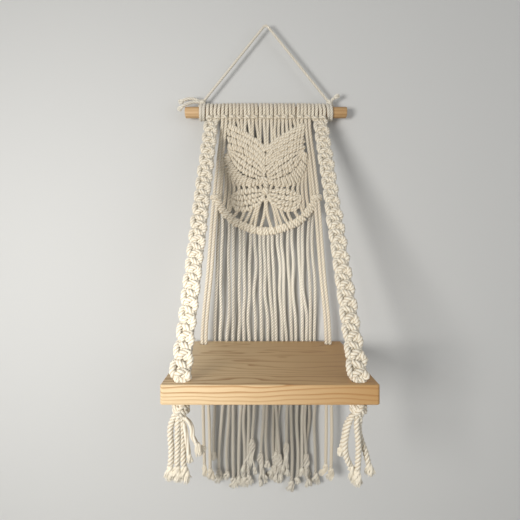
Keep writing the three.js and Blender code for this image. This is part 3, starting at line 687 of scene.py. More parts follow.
def wood(name, grain, roughness, facts):
    """Wood whose facts are its colours, the place of its heart, the number of its rings in a metre and how
    far they waver."""
    material, tree = new_material(name)
    surface = grouped(tree, grain, facts)
    feed(tree, tree.nodes["Principled BSDF"], {
        "Base Color": surface["Colour"],
        "Roughness": ramp(tree, surface["Mask"], 0.0, 1.0, roughness, roughness - LATE_GLOSS),
        "Specular IOR Level": 0.4,
        "Normal": bump(tree, surface["Mask"], *WOOD_RELIEF),
    })
    return material


def rgb(red, green, blue):
    """Linear colour of an sRGB colour that is written 0 to 255."""
    values = np.array([red, green, blue]) / 255
    linear = np.where(values <= 0.04045, values / 12.92, ((values + 0.055) / 1.055) ** 2.4)
    return (*linear.tolist(), 1.0)


fibres = fibre_group()
grain = grain_group()
looks = {
    "cotton_rope": cotton("cotton_rope", rgb(250, 243, 226), rgb(168, 147, 114), fibres),
    # Painted light and shade: the fringe's copy of the cotton is paler, to make up for the shade it hangs in,
    # and its darker shade colour deepens the painted shade in its grooves and below the board.
    "fringe_rope": cotton("fringe_rope", rgb(255, 250, 236), rgb(112, 95, 72), fibres),
    "hanger_cord": cotton("hanger_cord", rgb(248, 243, 230), rgb(172, 158, 134), fibres),
    "dowel_wood": wood("dowel_wood", grain, 0.5, {
        "Early": rgb(208, 173, 128),
        "Far": rgb(186, 150, 104),
        "Late": rgb(150, 106, 62),
        "Pores": rgb(172, 132, 88),
        "Heart": (0.0, 0.012, -0.16),
        "Rings": 230.0,
        "Waver": 0.006,
    }),
    "board_pine": wood("board_pine", grain, 0.55, {
        "Early": rgb(223, 198, 158),
        "Far": rgb(185, 143, 90),
        "Late": rgb(166, 120, 71),
        "Pores": rgb(185, 146, 97),
        "Heart": (0.0, -0.04, -0.70),
        "Rings": 250.0,
        "Waver": 0.02,
    }),
}


# Camera and light

LENS = 25.92
SENSOR = 36.0
CAMERA_AT = (-13.0, -547.7, -326.0)
FRAME_SHIFT = (0.0058, -0.0192)  # of the frame's width
# Lamps, in metres and watts: the place, the width of an area lamp or of the patch that a spot lights, the
# power and the colour
AIM = (0.0, -0.05, -0.34)
AREA_LAMPS = {
    "key": ((-0.5, -0.8, -0.36), 0.28, 6.3, (1.0, 0.985, 0.96)),
    "fill": ((0.9, -1.0, -0.05), 0.9, 2.6, (0.97, 0.98, 1.0)),
}
SPOT_AT = (-0.25, -0.75, -0.36)
SPOT_AIM = (0.0, 0.0, -0.385)
SPOT_WIDTH = 0.24
SPOT_POWER = 12.0
SPOT_COLOUR = (1.0, 0.98, 0.94)
SPOT_SOFTNESS = 0.06
WORLD_STRENGTH = 0.36
WALL_HALF = 3.0  # half of the wall's width, and how far the floor comes forward, in metres
WALL_Y = 0.0155
FLOOR_Z = -0.95


def camera():
    """The photograph's view: a lens of 25.92 mm on a 36 mm sensor, level with the butterfly. The frame is
    shifted a little, because the photograph is a cut from a larger one."""
    data = bpy.data.cameras.new("camera")
    data.lens = LENS
    data.sensor_width = SENSOR
    data.shift_x, data.shift_y = FRAME_SHIFT
    view = bpy.data.objects.new("camera", data)
    view.location = np.array(CAMERA_AT) * METRES
    view.rotation_euler = (radians(90), 0.0, 0.0)
    bpy.context.scene.collection.objects.link(view)
    bpy.context.scene.camera = view


def hang_lamp(name, data, place, aim, power, colour):
    """Puts a lamp at a place and points it at the aim."""
    data.energy = power
    data.color = colour
    light = bpy.data.objects.new(name, data)
    light.location = place
    away = np.array(aim) - place
    light.rotation_euler = (
        atan2(hypot(away[0], away[1]), -away[2]), 0.0, atan2(away[1], away[0]) - pi / 2,
    )
    bpy.context.scene.collection.objects.link(light)


def area_lamp(name, place, width, power, colour):
    data = bpy.data.lights.new(name, "AREA")
    data.shape = "SQUARE"
    data.size = width
    hang_lamp(name, data, place, AIM, power, colour)


def fringe_spot():
    """Soft-edged spot that lights a round patch of the fringe."""
    data = bpy.data.lights.new("fringe", "SPOT")
    distance = float(np.linalg.norm(np.array(SPOT_AIM) - SPOT_AT))
    data.spot_size = 2 * atan2(SPOT_WIDTH / 2, distance)
    data.spot_blend = 1.0
    data.shadow_soft_size = SPOT_SOFTNESS
    hang_lamp("fringe", data, SPOT_AT, SPOT_AIM, SPOT_POWER, SPOT_COLOUR)


def lights():
    for name, facts in AREA_LAMPS.items():
        area_lamp(name, *facts)
    fringe_spot()
    world = bpy.data.worlds.new("world")
    world.use_nodes = True
    bpy.context.scene.world = world
    background = world.node_tree.nodes["Background"]
    feed(world.node_tree, background, {"Color": (1.0, 1.0, 1.0, 1.0), "Strength": WORLD_STRENGTH})


def plain(name, colour):
    """Plain backdrop that is seen from its front only."""
    material, tree = new_material(name)
    shader = tree.nodes["Principled BSDF"]
    feed(tree, shader, {"Base Color": colour, "Roughness": 0.95, "Specular IOR Level": 0.1})
    behind = tree.nodes.new("ShaderNodeNewGeometry").outputs["Backfacing"]
    clear = tree.nodes.new("ShaderNodeBsdfTransparent").outputs[0]
    mix = feed(tree, tree.nodes.new("ShaderNodeMixShader"), {0: behind, 1: shader.outputs[0], 2: clear})
    feed(tree, tree.nodes["Material Output"], {"Surface": mix.outputs[0]})
    return material


def backdrop():
    """Pale wall just behind the shelf, and a pale floor below it."""
    half = WALL_HALF
    corners = [
        (-half, WALL_Y, FLOOR_Z), (half, WALL_Y, FLOOR_Z), (half, WALL_Y, half), (-half, WALL_Y, half),
        (-half, -half, FLOOR_Z), (half, -half, FLOOR_Z),
    ]
    mesh = bpy.data.meshes.new("backdrop")
    mesh.from_pydata(corners, [], [(0, 1, 2, 3), (4, 5, 1, 0)])
    mesh.materials.append(plain("pale_wall", rgb(208, 208, 206)))
    wall = bpy.data.objects.new("backdrop", mesh)
    bpy.context.scene.collection.objects.link(wall)


camera()
lights()
backdrop()
bpy.context.scene.view_settings.view_transform = "Standard"


# Fringe

FRINGE_SWAY = 1.1
LOW_FRINGE_SWAY = 2.0
UNLAID_FROM = 35.0  # a frayed end longer than this has come apart into its plies
EXIT_SHARE = 0.3  # of the border's height, from its middle down to where the strands come out
EXIT_BACK = 1.5  # how far behind the panel's middle that is
FALL_SHARES = (0.3, 0.55, 0.8)  # where a strand sways between the border and the board
LOW_FALL_SHARES = (0.25, 0.5, 0.75)  # and between the board and its end
# Where the strands of one half leave the border, in pairs from the middle outwards: shares of its radius.
fringe_border_shares = (0.041, 0.114, 0.21, 0.285, 0.406, 0.478, 0.607, 0.678, 0.8, 0.871)
# Shares of the fringe's half width at the board, halfway down and at the end, then of the fall at the end;
# then the length and the spread of the frayed end, and how far it leans to the right, in rope diameters.
fringe_shares = (
    (-1.0, -0.987, -1.009, 0.775, 14, 3.5, 0.0),
    (-0.894, -0.871, -0.917, 0.936, 21, 5.5, -0.25),
    (-0.763, -0.745, -0.752, 0.91, 13, 4.6, -0.3),
    (-0.641, -0.637, -0.629, 0.973, 16, 5.2, 0.1),
    (-0.528, -0.528, -0.53, 0.954, 14, 4.8, 0.0),
    (-0.43, -0.435, -0.438, 0.96, 15, 5.0, 0.2),
    (-0.326, -0.336, -0.328, 0.954, 16, 5.0, 0.0),
    (-0.203, -0.251, -0.218, 0.874, 53, 6.4, -0.4),
    (-0.082, -0.071, -0.046, 0.937, 44, 5.6, 0.5),
    (0.038, 0.024, 0.033, 0.834, 12, 3.6, 0.0),
    (0.14, 0.175, 0.18, 0.89, 15, 4.5, 0.3),
    (0.203, 0.235, 0.265, 0.93, 42, 6.0, 0.0),
    (0.32, 0.25, 0.16, 0.94, 46, 6.0, 0.0),
    (0.402, 0.425, 0.375, 0.868, 46, 5.4, 0.0),
    (0.504, 0.495, 0.487, 1.0, 17, 5.0, -0.1),
    (0.588, 0.594, 0.612, 0.944, 11, 4.4, 0.3),
    (0.712, 0.712, 0.705, 0.887, 13, 4.4, -0.5),
    (0.794, 0.797, 0.792, 0.95, 46, 5.8, 0.0),
    (0.868, 0.81, 0.815, 0.9, 14, 4.0, 0.2),
    (0.95, 0.95, 0.976, 0.947, 17, 5.6, 0.2),
)
strands_behind = (10, 12, 18)  # counted from 0: these hang behind their neighbours
BEHIND = 3.5
UNLAID_SPREAD_SHARE = 0.75
SHORT_SPREAD_SHARE = 1.65  # wider, because the outer yarns of a short frayed end are the shortest
SHORT_FRAY_YARNS = 46
SHORT_FRAY_YARN = 1.35  # its yarns stick together in twos and threes
SHORT_FRAY_WAVE = 0.5
SHORT_FRAY_TONE = -0.1
STRAND_MOTTLE = 0.25
LIT_TONE = -1.0  # painted light: a strand is paler above the board
BELOW_BOARD_SHADE_TONE = 0.3  # painted shade: and darker towards its end below the board


def border_z(x):
    """Height of the border's middle line at x: centre - sqrt(radius^2 - x^2)."""
    return BORDER_CENTRE_Z - sqrt(BORDER_RADIUS**2 - x**2)


def fringe_route(index):
    """Route of a strand from under the border, behind the board, to the tip of its frayed end, and the
    height of that tip."""
    hang, halfway, end, fall = fringe_shares[index][:4]
    from_middle = index - (len(fringe_shares) - 1) / 2
    side = 1 if from_middle > 0 else -1
    exit_x = side * fringe_border_shares[int(abs(from_middle))] * BORDER_RADIUS
    exit_z = border_z(exit_x) - BORDER_HEIGHT * EXIT_SHARE
    end_z = BOARD_BOTTOM - fall * FRINGE_FALL
    y = FRINGE_BEHIND_BOARD_Y
    hang_x, halfway_x, end_x = (share * FRINGE_HALF_WIDTH for share in (hang, halfway, end))
    points = [(exit_x, PANEL_Y + EXIT_BACK, exit_z), (exit_x, FRINGE_Y, exit_z - 2 * ROPE)]
    for share in FALL_SHARES:
        x = exit_x + (hang_x - exit_x) * share + rng.normal(0, FRINGE_SWAY)
        points.append((x, FRINGE_Y + (y - FRINGE_Y) * share, exit_z + (BOARD_TOP - exit_z) * share))
    points += [(hang_x, y, BOARD_TOP + ROPE), (hang_x, y, BOARD_BOTTOM)]
    y += BEHIND * (index in strands_behind)
    for share in LOW_FALL_SHARES:
        x = np.interp(share, (0, 0.5, 1), (hang_x, halfway_x, end_x)) + rng.normal(0, LOW_FRINGE_SWAY)
        points.append((x, y, BOARD_BOTTOM + (end_z - BOARD_BOTTOM) * share))
    points.append((end_x, y, end_z))
    return smooth(points, LOOSE_STEP), end_z


def fringe_fray(line, length, spread, lean, tone):
    """Frayed end of a strand: a short brush, or a long end that has come apart into its plies."""
    end = line_end(line, FRINGE_END_POINTS)
    droop = (lean * ROPE, 0.0, 0.0)
    if length > UNLAID_FROM:
        return unlaid(*end, length, spread * UNLAID_SPREAD_SHARE, tone, droop)
    return tuft(
        *end, length, spread * SHORT_SPREAD_SHARE, ROPE, SHORT_FRAY_YARNS, tone + SHORT_FRAY_TONE, droop,
        SHORT_FRAY_WAVE, fanned, SHORT_FRAY_YARN, FRINGE_MOTTLE,
    )


def fringe_strand(index):
    """One strand of the fringe, laid down to its frayed end."""
    length, spread, lean = fringe_shares[index][4:]
    line, end_z = fringe_route(index)
    line = line[: -round(length / LOOSE_STEP)]
    own = rng.normal(0.0, STRAND_MOTTLE)
    # Painted light above the board and painted shade below it, on top of the strand's own random tone.
    tone = own + np.interp(line[:, 2], (end_z, BOARD_BOTTOM, BOARD_TOP + ROPE), (BELOW_BOARD_SHADE_TONE, 0.0, LIT_TONE))
    name = f"fringe_strand_{index + 1}"
    laid = closed_rope(line, tone=tone, depth=FRINGE_PLY_SHARE)
    strand = build(f"{name}_rope", [laid], name, "fringe_rope")
    end_piece = build(f"{name}_fray", fringe_fray(line, length, spread, lean, own), slot="fringe_rope")


for i in range(len(fringe_shares)):
    fringe_strand(i)


# Tassels

TASSEL_ROPES = 4
# Routes of the ropes: shares of the rope's diameter sideways, from each rope's place in the swing axis, and
# backwards, then of the tassel's length down.
tassel_shares = {
    "left": (
        ((1.0, 0.1, -0.14), (0.2, -0.1, -0.03), (-0.45, -0.1, 0.1), (-0.6, -0.1, 0.3), (-0.42, 0, 0.5),
         (-0.5, 0, 0.7), (-1.0, 0.1, 0.97)),
        ((0.4, -0.2, -0.12), (0.05, -0.25, 0.0), (-0.1, -0.4, 0.2), (-0.12, -0.2, 0.5), (-0.25, -0.1, 0.74),
         (-0.6, 0, 0.99)),
        ((-0.5, 0, -0.1), (-0.32, 0, 0.1), (-0.25, 0.1, 0.3), (-0.16, 0.1, 0.55), (0.06, 0, 0.78),
         (0.42, 0, 0.99)),
        ((-1.3, 0, -0.22), (-1.09, 0, -0.03), (0.1, -0.2, 0.061), (0.75, -0.3, 0.173), (0.9, -0.35, 0.284),
         (1.6, -0.45, 0.395), (2.5, -0.5, 0.54)),
    ),
    "right": (
        ((0.6, 0.0, -0.06), (-0.31, 0.15, 0.04), (-0.81, 0.6, 0.16), (-1.03, 0.7, 0.28), (-1.31, 0.7, 0.41),
         (-1.75, 0.6, 0.53), (-2.05, 0.6, 0.62)),
        ((-0.36, -0.2, -0.08), (-1.21, -0.5, 0.0), (-1.73, -0.6, 0.11), (-2.1, -0.6, 0.23),
         (-2.36, -0.6, 0.42), (-1.94, -0.5, 0.65), (-1.41, -0.4, 0.75), (-0.84, -0.2, 0.85),
         (-0.6, 0.1, 0.96)),
        ((-0.78, -0.2, -0.06), (-0.95, -0.4, 0.02), (-0.98, -0.4, 0.12), (-0.82, -0.45, 0.24),
         (-0.64, -0.5, 0.44), (-0.7, -0.5, 0.67), (-0.86, -0.5, 0.9), (-0.75, -0.5, 1.05)),
        ((-1.2, 0.0, -0.06), (-1.3, 0.15, 0.04), (-1.35, 0.7, 0.16), (-1.14, 0.9, 0.29),
         (-0.38, 0.8, 0.49), (0.11, 0.7, 0.6), (0.45, 0.6, 0.72), (0.79, 0.6, 0.84), (0.82, 0.6, 0.94)),
    ),
}
TASSEL_ROPE = 6.5  # slack, so a little thicker
TASSEL_TONE = -0.9
TASSEL_MOTTLE = 0.1
TASSEL_FRAY_TONE = -0.1
TASSEL_YARNS = 96
TASSEL_DROOP_SHARE = 0.12  # of a brush's length
TASSEL_CUT_SHARE = 0.75  # of a brush's length, by which the laid rope stops before its route does
# The left tassel's last rope has lost its lay, and one of its plies hangs by itself: shares as above.
OPEN_ROPE = ("left", 3)
OPEN_LAY = 70.0
LONE_PLY = 4.8
LONE_PLY_FRAY = 9.0
LONE_PLY_YARNS = 60
lone_ply_shares = (
    (-0.95, -0.4, 0.06), (-0.82, -0.5, 0.11), (-0.6, -0.5, 0.18), (-0.36, -0.4, 0.3), (-0.15, -0.3, 0.45),
    (0.1, -0.3, 0.61),
)
# Length and spread of the brush at each rope's end
tassel_fray_sizes = {
    "left": ((14, 8.2), (15, 8.6), (16, 10.5), (12, 9.5)),
    "right": ((9, 4.5), (15, 8.0), (15, 8.0), (12, 7.5)),
}
TASSEL_PIVOT_Z = BOARD_BOTTOM - TOUCH - FRONT_KNOT[2] - TOUCH - ROPE / 2
TASSEL_OVERLAP = 2.0  # above the pivot and below it: here the hanging part and the knotted part overlap


def tassel_route(side, index, shares):
    start_x = side * FRONT_HOLE_X + (index - (TASSEL_ROPES - 1) / 2) * SPREAD
    points = [
        (start_x + x * ROPE, FRONT_HOLE_Y + y * ROPE, TASSEL_PIVOT_Z - down * TASSEL_LENGTH)
        for x, y, down in shares
    ]
    return smooth(points, STEP)


def tassel_root(side, word, index):
    """The part of a tassel's rope that is held by the knot, and stays with it when the tassel swings."""
    line = tassel_route(side, index, tassel_shares[word][index])
    line = line[line[:, 2] > TASSEL_PIVOT_Z - TASSEL_OVERLAP]
    diameter = ROPE if (word, index) == OPEN_ROPE else TASSEL_ROPE
    return closed_rope(line, diameter, tone=TASSEL_TONE)


def lone_ply(side, index, tone):
    """Ply that hangs beside its rope, with its brush."""
    line = tassel_route(side, index, lone_ply_shares)
    ply = closed_rope(line, LONE_PLY, tone=tone, lay=OPEN_LAY)
    return [ply] + tuft(*line_end(line), LONE_PLY_FRAY, LONE_PLY, LONE_PLY, LONE_PLY_YARNS, tone)


def tassel_rope(side, word, index):
    """The part of a tassel's rope that swings, and its brush."""
    length, spread = tassel_fray_sizes[word][index]
    line = tassel_route(side, index, tassel_shares[word][index])
    line = line[: len(line) - round(length * TASSEL_CUT_SHARE / STEP)]
    line = line[line[:, 2] < TASSEL_PIVOT_Z + TASSEL_OVERLAP]
    tone = rng.normal(TASSEL_TONE, TASSEL_MOTTLE)
    name = f"tassel_rope_{word}_{index + 1}"
    body = f"tassel_{word}"
    opened = (word, index) == OPEN_ROPE
    diameter, lay = (ROPE, OPEN_LAY) if opened else (TASSEL_ROPE, LAY)
    laid = closed_rope(line, diameter, tone=tone, lay=lay, depth=OPEN_PLY_SHARE)
    strand = build(f"{name}_lay", [laid], name, body=body)
    droop = (0.0, 0.0, -TASSEL_DROOP_SHARE * length)
    brush = tuft(*line_end(line), length, spread, diameter, TASSEL_YARNS, tone + TASSEL_FRAY_TONE, droop)
    if opened:
        brush += lone_ply(side, index, tone)
    end_piece = build(f"{name}_fray", brush, body=body)


for side, word in SIDES_AND_WORDS:
    for index in range(TASSEL_ROPES):
        tassel_rope(side, word, index)


# Stopper knots

# Turns of the knot, each with its height as a share of the half height, its lean in degrees and its reach
# as a share of the half width: three side by side, and one that crosses over them.
knot_turn_shares = ((-0.85, 24.0, 1.0), (0.0, 24.0, 1.0), (0.85, 24.0, 1.0), (0.1, -62.0, 1.14))
KNOT_TURN_POINTS = 50
KNOT_TURN_OVERLAP = 0.2  # of a turn's two ends, in radians
KNOT_WAVE_SHARE = 0.04  # of the rope's diameter, that a turn sways
KNOT_MOTTLE = 0.1


def stopper_knot(middle, size, diameter, tone, side):
    """Stopper knot as it is seen from outside: turns round the lump that lean to one side. A turn at a share
    h of the half height has its half width and half depth times (1 - |h|^3)^(1/3). The crossing turn is
    drawn in to the knot's own height."""
    half = (np.array(size) - diameter) / 2
    t = np.linspace(0, 2 * pi + KNOT_TURN_OVERLAP, KNOT_TURN_POINTS)
    surfaces = []
    for h, lean, reach in knot_turn_shares:
        size_here = reach * (1 - abs(h) ** 3) ** (1 / 3)
        x = half[0] * size_here * np.cos(t)
        y = half[1] * size_here * np.sin(t)
        z = h * half[2] + KNOT_WAVE_SHARE * diameter * np.sin(2 * t)
        angle = radians(side * lean)
        drawn_in = half[2] / half[0] if reach > 1 else 1.0
        leaned = (x * cos(angle) - z * sin(angle), y, (x * sin(angle) + z * cos(angle)) * drawn_in)
        line = np.stack(leaned, axis=1) + middle
        surfaces.append(rope(spaced(line, STEP), diameter, tone=tone + rng.normal(0, KNOT_MOTTLE)))
    return surfaces


# Lark's heads

WRAP_START = -15.0  # degrees round the dowel, from its front over its top
WRAP_END = 255.0
WRAP_STEPS = 14
WRAP_CENTRE = DOWEL_RADIUS + TOUCH + WRAP / 2
BAR_BULGE_SHARES = (1 / 3, 1 / 6)  # of half a wrap, that the bar's middle stands forward and up
BAR_TUCK = (0.4, 0.6)  # from under the dowel to the bar: inwards and backwards
LEG_SHARE = 0.9  # of the rope's thickness, where it is stretched under its lark's head
HEAD_ROPE = WRAP * 1.08  # pulled less tight at the crown
HEAD_LEAN = 0.5
HEAD_SHIFT = 0.3
HEAD_DROP = 0.5
HEAD_TONE = -0.2
HEAD_MOTTLE = 0.25
LEG_FORWARD = 0.6  # of the panel's middle, where a leg leaves its lark's head


def round_dowel(x, degrees, radius):
    """Points at a radius from the dowel's axis: at 0 degrees in front of it, at 90 above."""
    angle = np.radians(degrees)
    return x, -radius * np.cos(angle), DOWEL_Z + radius * np.sin(angle)


def head_half(lean):
    """Half of a lark's head, from the front of the dowel over its top and back under it to the bar. On the
    way it leans sideways by the sine of the angle."""
    degrees = np.linspace(WRAP_START, WRAP_END, WRAP_STEPS + 1)
    out = -WRAP_PITCH / 2
    wrap = list(zip(*round_dowel(out + lean * np.sin(np.radians(degrees)), degrees, WRAP_CENTRE)))
    tuck, back = BAR_TUCK
    return wrap + [(out, -DOWEL_RADIUS / 2, BAR_Z), (out + tuck, BAR_Y + back, BAR_Z)]


def head_route(x, left_leg, right_leg):
    """Route of a rope folded over the dowel. The legs are routes downwards from just under the bar."""
    lean, shift, drop = rng.normal(0, (HEAD_LEAN, HEAD_SHIFT, HEAD_DROP))
    forward, up = (share * WRAP / 2 for share in BAR_BULGE_SHARES)
    there = [(x + shift + px, py, pz) for px, py, pz in head_half(lean)]
    middle = [(x, BAR_Y - forward, BAR_Z + up + drop)]
    back = [(x + shift - px, py, pz) for px, py, pz in reversed(head_half(-lean))]
    return list(reversed(left_leg)) + there + middle + back + list(right_leg)


# Edges of the butterfly's knotted fields

# The left half, outermost point first, as shares of the panel's half width and of its height below the
# lark's heads.
edge_shares = {
    "field top": ((0.97, 0.022), (0.714, 0.066), (0.446, 0.122), (0.214, 0.178), (0.012, 0.241)),
    "upper wing top": ((0.975, 0.266), (0.768, 0.284), (0.53, 0.3175), (0.191, 0.404), (0.022, 0.483)),
    "upper wing foot": (
        (0.966, 0.291), (0.9375, 0.3175), (0.78, 0.42), (0.598, 0.483), (0.371, 0.5156), (0.1, 0.531),
        (0.045, 0.5125),
    ),
    "rib foot": (
        (1.06, 0.3156), (1.075, 0.357), (1.018, 0.452), (0.88, 0.547), (0.768, 0.5825), (0.611, 0.59),
        (0.3375, 0.6), (0.191, 0.59), (0.054, 0.575),
    ),
    "lower wing top": ((0.905, 0.682), (0.6875, 0.634), (0.371, 0.6126), (0.054, 0.626)),
    "lower wing foot": (
        (0.897, 0.716), (0.78, 0.8156), (0.507, 0.827), (0.304, 0.8), (0.1, 0.737), (0.054, 0.709),
    ),
}
EDGE_POINTS = 160
EDGE_STEP = 0.3


def edge(shares):
    """Smooth edge through shares, as EDGE_POINTS points at equal distances."""
    points = [(out * PANEL_HALF_WIDTH, 0.0, PANEL_TOP - down * PANEL_HEIGHT) for out, down in shares]
    fine = smooth(points, EDGE_STEP)
    return between(np.linspace(0, len(fine) - 1, EDGE_POINTS), np.arange(len(fine)), fine)


def edge_height(line, x):
    order = np.argsort(line[:, 0])
    return float(np.interp(x, line[order, 0], line[order, 2]))


edges = {name: edge(shares) for name, shares in edge_shares.items()}


# Legs of the butterfly's lark's heads

# Gaps between the strands just above the top row, as shares of the panel's half width.
gap_shares = (-0.73, -0.48, -0.27, -0.054, 0.07, 0.25, 0.35, 0.49, 0.57, 0.7)
GAP = 1.5  # how far a strand beside a gap is pushed away from it
GAP_REACH = 4.5
LEG_SWAY = 0.8
LEG_SWAY_JITTER = 0.6
LEG_DEPTH_JITTER = 0.7
LEG_INTO_ROW = 2.0  # how far below its top edge a leg goes into the row of half hitches
LEG_END_BEHIND = 0.5
LEG_END_DROP = 1.0
LEG_BEND_SWAY_SHARE = 0.3  # of its sway, at its bend
LEG_BEND_SHARE = 0.35  # of its height, where its bend lies


def pushed(x):
    """Where a strand at x ends up: gap g pushes it by (x - g) / |x - g| exp(-((x - g) / reach)^2) of GAP."""
    away = x - np.array(gap_shares) * PANEL_HALF_WIDTH
    return x + GAP * float(np.sum(np.sign(away) * np.exp(-((away / GAP_REACH) ** 2))))


def panel_leg(x, way):
    """Route of one leg, from its lark's head down into the top row of half hitches."""
    leg_x = x + way * SPREAD / 2
    foot_z = edge_height(edges["field top"], abs(leg_x)) - LEG_INTO_ROW
    sway = rng.normal(LEG_SWAY, LEG_SWAY_JITTER)
    low_x = pushed(leg_x)
    bend_y = PANEL_Y + rng.normal(0, LEG_DEPTH_JITTER)
    return [
        (x + way * WRAP_PITCH / 2, PANEL_Y - LEG_FORWARD, BAR_Z),
        (leg_x, PANEL_Y, BAR_Z - ROPE),
        (low_x + sway * LEG_BEND_SWAY_SHARE, bend_y, foot_z + (BAR_Z - foot_z) * LEG_BEND_SHARE),
        (low_x + sway, PANEL_Y + LEG_END_BEHIND, foot_z - LEG_END_DROP),
    ]


def panel_head(side, index):
    """Lark's head over the butterfly, with its two legs."""
    x = side * (index + 0.5) * HEAD_PITCH
    left_leg, right_leg = panel_leg(x, -1), panel_leg(x, 1)
    line = smooth(head_route(x, left_leg, right_leg), STEP)
    swell = np.interp(line[:, 2], (BAR_Z - 2 * ROPE, BAR_Z), (LEG_SHARE, 1.0))
    return rope(line, HEAD_ROPE, tone=rng.normal(HEAD_TONE, HEAD_MOTTLE), swell=swell)


for side, word in SIDES_AND_WORDS:
    for index in range(PANEL_HEADS):
        name = f"larks_head_{word}_{index + 1}"
        build(f"{name}_lay", [panel_head(side, index)], name)


# Butterfly

PAIRING = 0.5  # how far each second hitch leans to the one before it, in radians of the turn
TURN_JITTER = 0.55
HITCH_JITTER = 0.42
SWELL_JITTER = 0.06
FRONT_SWELL = 0.08
HITCH_RINGS = 22  # in one hitch
HITCH_INSET_SHARE = 0.42  # of the cord's diameter, from a row's edge to the cord's middle
LEAST_HITCH_ROOM = 0.5  # from a row's middle to the cord's, where the row is narrow
HITCH_PROUD_SHARE = 1.15  # a row stands that much deeper than its depth where it bulges
HITCH_SWELL_SHARES = (0.55, 1.0)
FULL_HITCH_SHARE = 0.7  # of the cord's diameter: in a row with less half height the cord is drawn thinner
HITCH_CORE_SHARE = 0.9  # of the cord's diameter
HITCH_CORE_TONE = 0.4
HITCH_TONE = -0.1
ROW_MOTTLE = 0.12
FEWEST_HITCHES = 3
STRAND_TONE = 0.2


def uneven(u, places, size):
    """Random values of the given size at places, with straight lines between them."""
    return np.interp(u, places, rng.normal(0, size, len(places)))


def flattened(wave):
    """Sine wave with broader crests: its size to the power 0.8."""
    return np.sign(wave) * np.abs(wave) ** 0.8


def hitch_row(
    top, foot, side, tone=HITCH_TONE, depth=PANEL_THICKNESS, diameter=HITCH_ROPE, pitch=HITCH_PITCH
):
    """Row of half hitches between two edges. The cord winds round the row: at a share u along it, it lies
    half a height times cos(turn) up from the middle and half a depth times sin(turn) forward, where the turn
    is 2 pi times the number of hitches times u, both flattened a little. A straight core fills the row."""
    middle = (top + foot) / 2
    hitches = max(FEWEST_HITCHES, round(line_length(middle) / pitch))
    u = np.linspace(0, 1, hitches * HITCH_RINGS)
    places, rows = u * (len(middle) - 1), np.arange(len(middle))
    centre = between(places, rows, middle)
    upward = between(places, rows, top - foot) / 2
    half_height = np.linalg.norm(upward, axis=1)
    room = np.maximum(half_height - diameter * HITCH_INSET_SHARE, LEAST_HITCH_ROOM)
    knots = np.linspace(0, 1, hitches + 1)
    turn = 2 * pi * hitches * u + rng.uniform(0, 2 * pi)
    turn += PAIRING * np.sin(pi * hitches * u) + uneven(u, knots, TURN_JITTER)
    up = flattened(np.cos(turn)) * room + uneven(u, knots, HITCH_JITTER)
    out = flattened(np.sin(turn)) * (depth - diameter) / 2 * HITCH_PROUD_SHARE
    out += uneven(u, knots, HITCH_JITTER)
    line = centre + up[:, None] * unit(upward)
    line = np.stack([line[:, 0] * side, PANEL_Y - out, line[:, 2]], axis=1)
    swell = np.clip(half_height / (diameter * FULL_HITCH_SHARE), *HITCH_SWELL_SHARES)
    swell = swell * (1 + FRONT_SWELL * np.sin(turn) + uneven(u, knots, SWELL_JITTER))
    wound = rope(line, diameter, tone=tone, swell=swell, lay=HITCH_LAY, depth=HITCH_PLY_SHARE)
    core_line = np.stack([centre[:, 0] * side, np.full(len(centre), PANEL_Y), centre[:, 2]], axis=1)
    core = rope(spaced(core_line, STEP), diameter * HITCH_CORE_SHARE, tone=tone + HITCH_CORE_TONE)
    return [wound, core]


def field(top, foot, rows, side, tone):
    """Rows of half hitches that share out the height between two edges."""
    surfaces = []
    for row in range(rows):
        upper = top + (foot - top) * row / rows
        lower = top + (foot - top) * (row + 1) / rows
        surfaces += hitch_row(upper, lower, side, tone + rng.normal(0, ROW_MOTTLE))
    return surfaces


def strand(points, side):
    """Free strand of the butterfly through points that are shares of the panel's half width and height, each
    with how far it lies behind the panel's middle."""
    route = [
        (side * out * PANEL_HALF_WIDTH, PANEL_Y + back, PANEL_TOP - down * PANEL_HEIGHT)
        for out, down, back in points
    ]
    return rope(smooth(route, STEP), tone=STRAND_TONE)


# The knotted fields: upper and lower edge, number of rows and tone
fields = {
    "hitched_field": ("field top", "upper wing top", 4, -0.1),
    "upper_wing": ("upper wing top", "upper wing foot", 3, -0.2),
    "upper_wing_rib": ("upper wing foot", "rib foot", 1, 0.0),
    "lower_wing": ("lower wing top", "lower wing foot", 4, -0.3),
}

# Strands from the upper wing's rib down to the lower wing or the border, from the middle outwards.
rib_strand_shares = (
    ((0.17, 0.575, 0.5), (0.13, 0.605, 0.8), (0.11, 0.64, 0.5)),
    ((0.32, 0.585, 0.5), (0.27, 0.607, 0.5), (0.26, 0.63, 0.5)),
    ((0.46, 0.58, 0.5), (0.41, 0.605, 0.3), (0.41, 0.63, 0.5)),
    ((0.61, 0.575, 0.5), (0.555, 0.61, 0.2), (0.57, 0.64, 0.5)),
    ((0.75, 0.565, 0.5), (0.69, 0.615, 0.2), (0.73, 0.66, 0.5)),
    ((0.88, 0.525, 0.5), (0.82, 0.61, 0.2), (0.85, 0.69, 0.5)),
    ((0.96, 0.49, 0.5), (0.93, 0.6, 0.4), (0.95, 0.7, 0.5), (0.97, 0.8, 0.5)),
    ((1.03, 0.43, 0.5), (1.03, 0.6, 0.5), (1.06, 0.72, 0.5), (1.1, 0.79, 0.5)),
    ((1.08, 0.35, 0.5), (1.125, 0.5, 0.5), (1.15, 0.62, 0.5), (1.18, 0.74, 0.5)),
)
